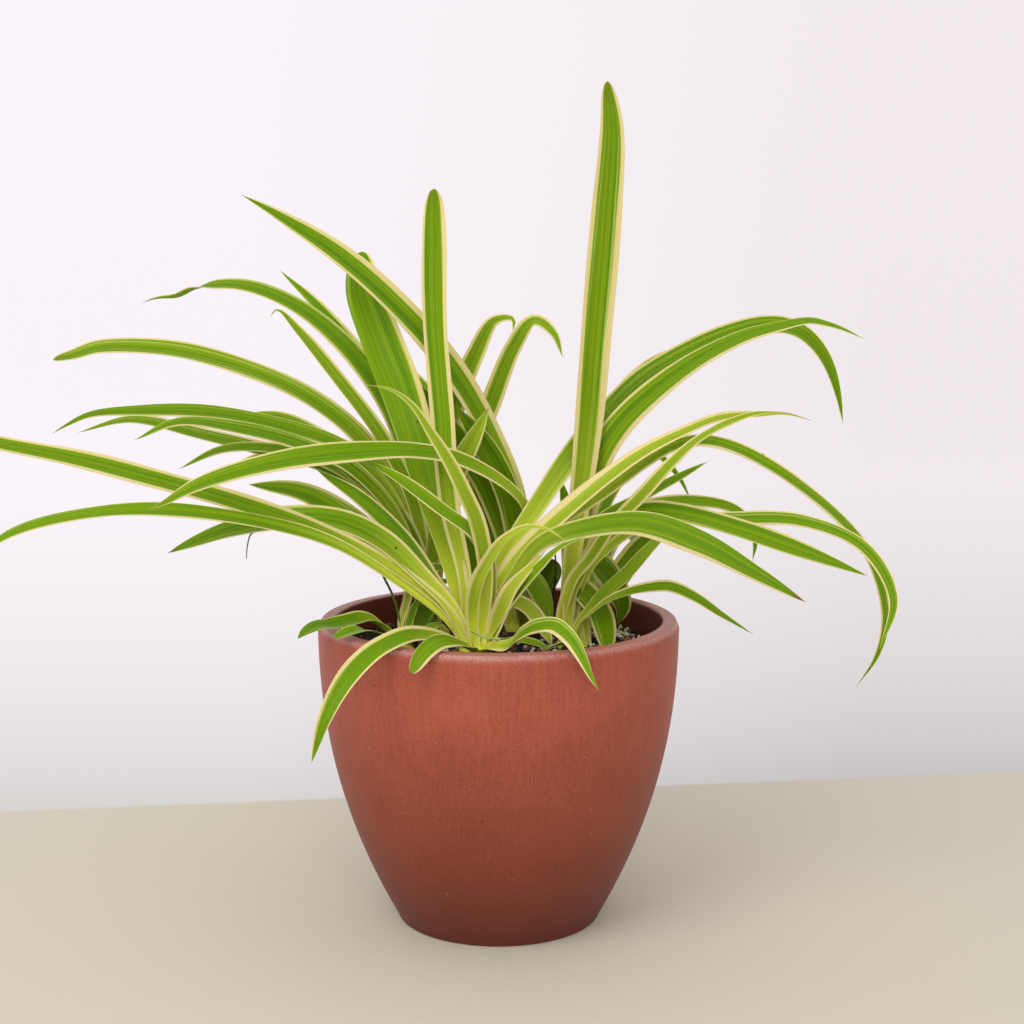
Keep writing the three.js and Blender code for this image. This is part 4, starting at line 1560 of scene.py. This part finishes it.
RIGHT_LEAVES = (
    Leaf("back_tip", 7, (17, 20), ((30, 148), (29, 163), (28, 174), (26, 183)), faces=(270, 20)),
    Leaf("tallest", 13, (-6, -12), ((29, 134), (30, 147), (31, 157), (33, 172), (37, 210), (40, 250),
        (43, 290), (45, 325), (43, 344)), faces=(270, 8), tip=6),
    Leaf("right_slender", 7.5, (-20, -50), ((26, 125), (28, 135), (31, 144), (38, 154), (46, 167),
        (57, 180), (69, 195), (79, 205), (92, 213), (101, 216), (112, 216)), tip=1.8, base=0.75,
        widest=0.35, turn=(50, 0.75, 0.9)),
    Leaf("right_hanging", 7.5, (-6, -30), ((33, 134), (38, 147), (47, 157), (59, 165), (75, 168), (95, 169),
        (123, 169), (148, 159), (159, 139), (153, 120)), base=0.5),
    Leaf("right_level", 11, (-16, -26), ((29, 132), (33, 145), (39, 156), (46, 165), (58, 173), (73, 173),
        (97, 167), (121, 159), (148, 149)), base=0.45),
    Leaf("right_bent_down", 9, (12, 4), ((34, 137), (39, 151), (49, 164), (64, 172), (84, 174), (100, 170),
        (107, 159), (106, 150)), tip=2.6),
    Leaf("right_threadlike", 6, (40, 56), ((35, 131), (40, 154), (53, 179), (69, 189), (79, 180),
        (86, 167)), tip=2.4),
    Leaf("right_dark", 6.5, (30, 46), ((31, 131), (35, 149), (44, 163), (59, 171), (75, 179), (91, 187))),
    Leaf("long_right", 14, (-8, -60), ((34, 155), (39, 187), (50, 208), (73, 230), (95, 244), (110, 249),
        (119, 251), (125, 250), (131, 248), (137, 245)), faces=(270, 45), tip=1.8, widest=0.4),
    Leaf("dips_into_pot", 10.5, (2, -14), ((31, 134), (34, 138), (38, 135), (42, 130), (44, 124),
        (45, 116)), faces=(250, 40), tip=6, base=0.6, widest=0.4),
    Leaf("dips_behind", 12, (16, 20), ((32, 130), (33, 140), (36, 147), (41, 147), (47, 141), (51, 134),
        (53, 127), (51, 120)), faces=(250, 35), tip=5, base=0.6, widest=0.4),
    Leaf("short_right", 6.5, (-14, -12), ((33, 124), (38, 132), (44, 140), (52, 148), (61, 158), (71, 167)),
        base=0.7),
    Leaf("low_curl", 6, (-26, -46), ((30, 118), (25, 122), (20, 123), (17, 122)), faces=(200, 60)),
    Leaf("low_over_rim", 6.5, (-26, -30), ((33, 124), (38, 131), (44, 137), (51, 141), (60, 144), (69, 145),
        (79, 141), (88, 135), (102, 126)), tip=2.4, base=0.35, widest=0.7),
    Leaf("short_back", 12, (26, 34), ((39, 124), (44, 131), (52, 140), (60, 150), (66, 156), (71, 160)),
        tip=5, base=0.5),
    Leaf("behind_tallest", 10, (50, 100), ((36, 150), (40, 185), (43, 220), (45, 245)), faces=(270, 20)),
    Leaf("back_arch_right", 14, (62, 112), ((34, 150), (42, 185), (54, 209), (72, 226), (90, 233),
        (106, 234))),
    Leaf("low_back_right", 13, (56, 118), ((40, 135), (50, 150), (60, 152), (66, 143), (68, 130)),
        faces=(60, 70)),
)

LEFT_LEAVES = (
    Leaf("left_high", 10.5, (42, 62), ((-34, 163), (-41, 195), (-51, 217), (-67, 238), (-87, 254),
        (-109, 263), (-124, 264), (-135, 262), (-142, 259), (-151, 258), (-158, 256)), tip=3,
        turn=(75, 0.84, 0.92)),
    Leaf("left_long", 11, (24, 0), ((-35, 146), (-43, 172), (-57, 197), (-76, 214), (-100, 227),
        (-133, 237), (-164, 239), (-174, 236), (-182, 234)), tip=6),
    Leaf("left_middle", 8.5, (10, -25), ((-37, 147), (-45, 173), (-63, 195), (-83, 204), (-114, 212),
        (-145, 214), (-163, 213), (-172, 209), (-177, 206))),
    Leaf("left_thin_back", 8, (34, 45), ((-34, 142), (-47, 166), (-73, 185), (-103, 194), (-129, 200),
        (-160, 206), (-184, 200))),
    Leaf("left_middle_front", 9, (6, -40), ((-36, 140), (-44, 167), (-62, 189), (-82, 200), (-104, 207),
        (-126, 211), (-141, 205))),
    Leaf("left_low_thin", 7.5, (30, 28), ((-38, 146), (-53, 174), (-77, 190), (-102, 195), (-119, 194),
        (-137, 186))),
    Leaf("spear_low", 9, (22, 16), ((-32, 138), (-39, 160), (-50, 175), (-69, 189))),
    Leaf("hooked_tip", 7.5, (22, 14), ((-32, 149), (-38, 177), (-50, 201), (-67, 225), (-83, 245),
        (-92, 254), (-95, 251))),
    Leaf("back_edge", 8.5, (50, 80), ((-33, 158), (-42, 196), (-57, 226), (-80, 253), (-99, 270))),
    Leaf("bent_small", 10, (36, 18), ((-30, 145), (-27, 180), (-19, 213), (-10, 235), (-2, 249), (6, 250),
        (6, 245)), faces=(285, 30), tip=4.5),
    Leaf("bent_large", 9.5, (42, 24), ((-26, 149), (-16, 182), (-4, 212), (6, 237), (15, 249), (23, 244),
        (27, 234)), faces=(270, 35), tip=4.5),
    Leaf("leans_right", 10.5, (18, 8), ((-30, 138), (-26, 161), (-18, 186), (-10, 202), (-4, 214)),
        faces=(300, 30), tip=4.5),
    Leaf("curl_upper", 7, (20, 16), ((-29, 125), (-29, 135), (-30, 143), (-26, 145), (-22, 144)),
        faces=(270, 40)),
    Leaf("curl_lower", 6, (18, 14), ((-28, 126), (-27, 135), (-24, 139), (-20, 140)), faces=(270, 40)),
    Leaf("back_arch_left", 14, (64, 112), ((-38, 155), (-58, 182), (-82, 193), (-104, 201), (-122, 201),
        (-136, 199))),
    Leaf("low_back_left", 13, (66, 98), ((-40, 150), (-62, 178), (-93, 187), (-120, 180), (-140, 165)),
        faces=(270, 60)),
)

BACK_LEAVES = (
    Leaf("sweeps_left", 10.5, (-13, -72), ((15, 147), (10, 174), (-12, 192), (-32, 198), (-55, 199),
        (-85, 197), (-113, 190), (-125, 184), (-130, 182)), faces=(270, 35), tip=5, base=0.3, widest=0.8),
    Leaf("high_left", 12.5, (20, -10), ((11, 141), (8, 172), (-4, 202), (-20, 230), (-41, 255), (-65, 277),
        (-88, 292), (-102, 300)), faces=(270, 35), base=0.5, widest=0.6),
    Leaf("dark_left", 13, (34, 24), ((5, 149), (-6, 181), (-19, 200), (-33, 222)), faces=(240, 20)),
    Leaf("dark_broad", 18, (52, 58), ((8, 130), (2, 149), (-6, 173), (-14, 195)), faces=(265, 15)),
    Leaf("dark_low", 13, (38, 28), ((2, 126), (-8, 140), (-16, 155), (-21, 167)), faces=(255, 20)),
    Leaf("dark_middle", 12, (24, 14), ((9, 142), (5, 173), (-6, 197), (-18, 214)), faces=(250, 20)),
    Leaf("curled_dark", 12, (32, 27), ((15, 127), (19, 136), (22, 142), (23, 147)), faces=(270, 10), tip=6,
        base=0.8),
    Leaf("inner_short", 10, (10, -2), ((9, 132), (13, 142), (18, 135), (22, 123))),
    Leaf("low_back_middle", 14, (92, 142), ((8, 145), (4, 160), (0, 158), (-4, 135), (-6, 112)),
        faces=(90, 70)),
    Leaf("low_back_inner", 13, (86, 132), ((16, 145), (26, 158), (38, 155), (48, 138), (54, 120)),
        faces=(110, 70)),
    Leaf("back_leaning_left", 13, (80, 112), ((2, 150), (-14, 185), (-34, 212), (-50, 230)),
        faces=(270, 30)),
)

SMALL_LEAVES = (
    Leaf("small_over_rim", 10, (-20, -48), ((-45, 121), (-49, 127), (-54, 130), (-60, 130), (-66, 130),
        (-71, 131), (-75, 130), (-78, 128)), faces=(262, 62)),
    Leaf("small_stem", 4, (4, 8), ((-41, 123), (-38, 135), (-37, 148)), faces=(270, 40)),
    Leaf("small_stem_thin", 3.5, (2, 2), ((-38, 121), (-36, 129), (-33, 135))),
    Leaf("small_dark", 12, (8, 16), ((-37, 120), (-33, 125), (-28, 128))),
    Leaf("small_inner", 5, (-6, -8), ((-33, 120), (-28, 124), (-23, 126)), faces=(270, 60)),
    Leaf("small_side", 8, (-30, -52), ((-43, 120), (-49, 126), (-54, 130), (-59, 130), (-63, 129)),
        faces=(250, 62), tip=6),
)

ROSETTES = (
    Rosette("rosette_front", (-9, -6), 11, FRONT_LEAVES),
    Rosette("rosette_right", (31, 4), 12, RIGHT_LEAVES),
    Rosette("rosette_left", (-29, 30), 13, LEFT_LEAVES),
    Rosette("rosette_back", (10, 38), 14, BACK_LEAVES),
    Rosette("rosette_small", (-43, 0), 15, SMALL_LEAVES),
)

# Thin strands that lie among the leaves.
STRANDS = (
    Strand("tendril", Grain.STEM, (0.45, 0.6), ((-49, -12, 151), (-47, -8, 145), (-44, -3, 137),
        (-42, 2, 128), (-41, 3, 117))),
    Strand("dried_stalk", Grain.FIBRE, (1.1, 0.3), ((21, 22, 113), (22, 21, 127), (24, 20, 139),
        (24, 20, 152))),
    Strand("fallen_stem", Grain.PALE_STEM, (0.6, 0.55), ((-11, -24, 126.3), (-7.4, -24.5, 124.4),
        (-3.3, -24.5, 123.2), (1, -24, 122.8))),
    Strand("dry_whisker", Grain.STEM, (0.4, 0.2), ((-99, -8, 164.5), (-101.5, -8, 163), (-103, -8, 158),
        (-103.5, -8, 153))),
)


def main() -> None:
    """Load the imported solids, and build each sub-assembly around them."""
    logging.basicConfig(level=logging.INFO, format="%(name)s %(message)s")
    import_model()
    Studio().build()
    pot = Pot()
    pieces = [pot.build(CeramicFinish().make())]
    pieces += Soil(pot).build(Grain.MIX.value.make())
    leaf_finish = LeafFinish().make()
    pieces += [rosette.build(leaf_finish) for rosette in ROSETTES]
    pieces += [strand.build() for strand in STRANDS]
    for piece in pieces:
        LOG.info("%s: %d faces", piece.name, len(piece.data.polygons))


if __name__ == "__main__":
    main()
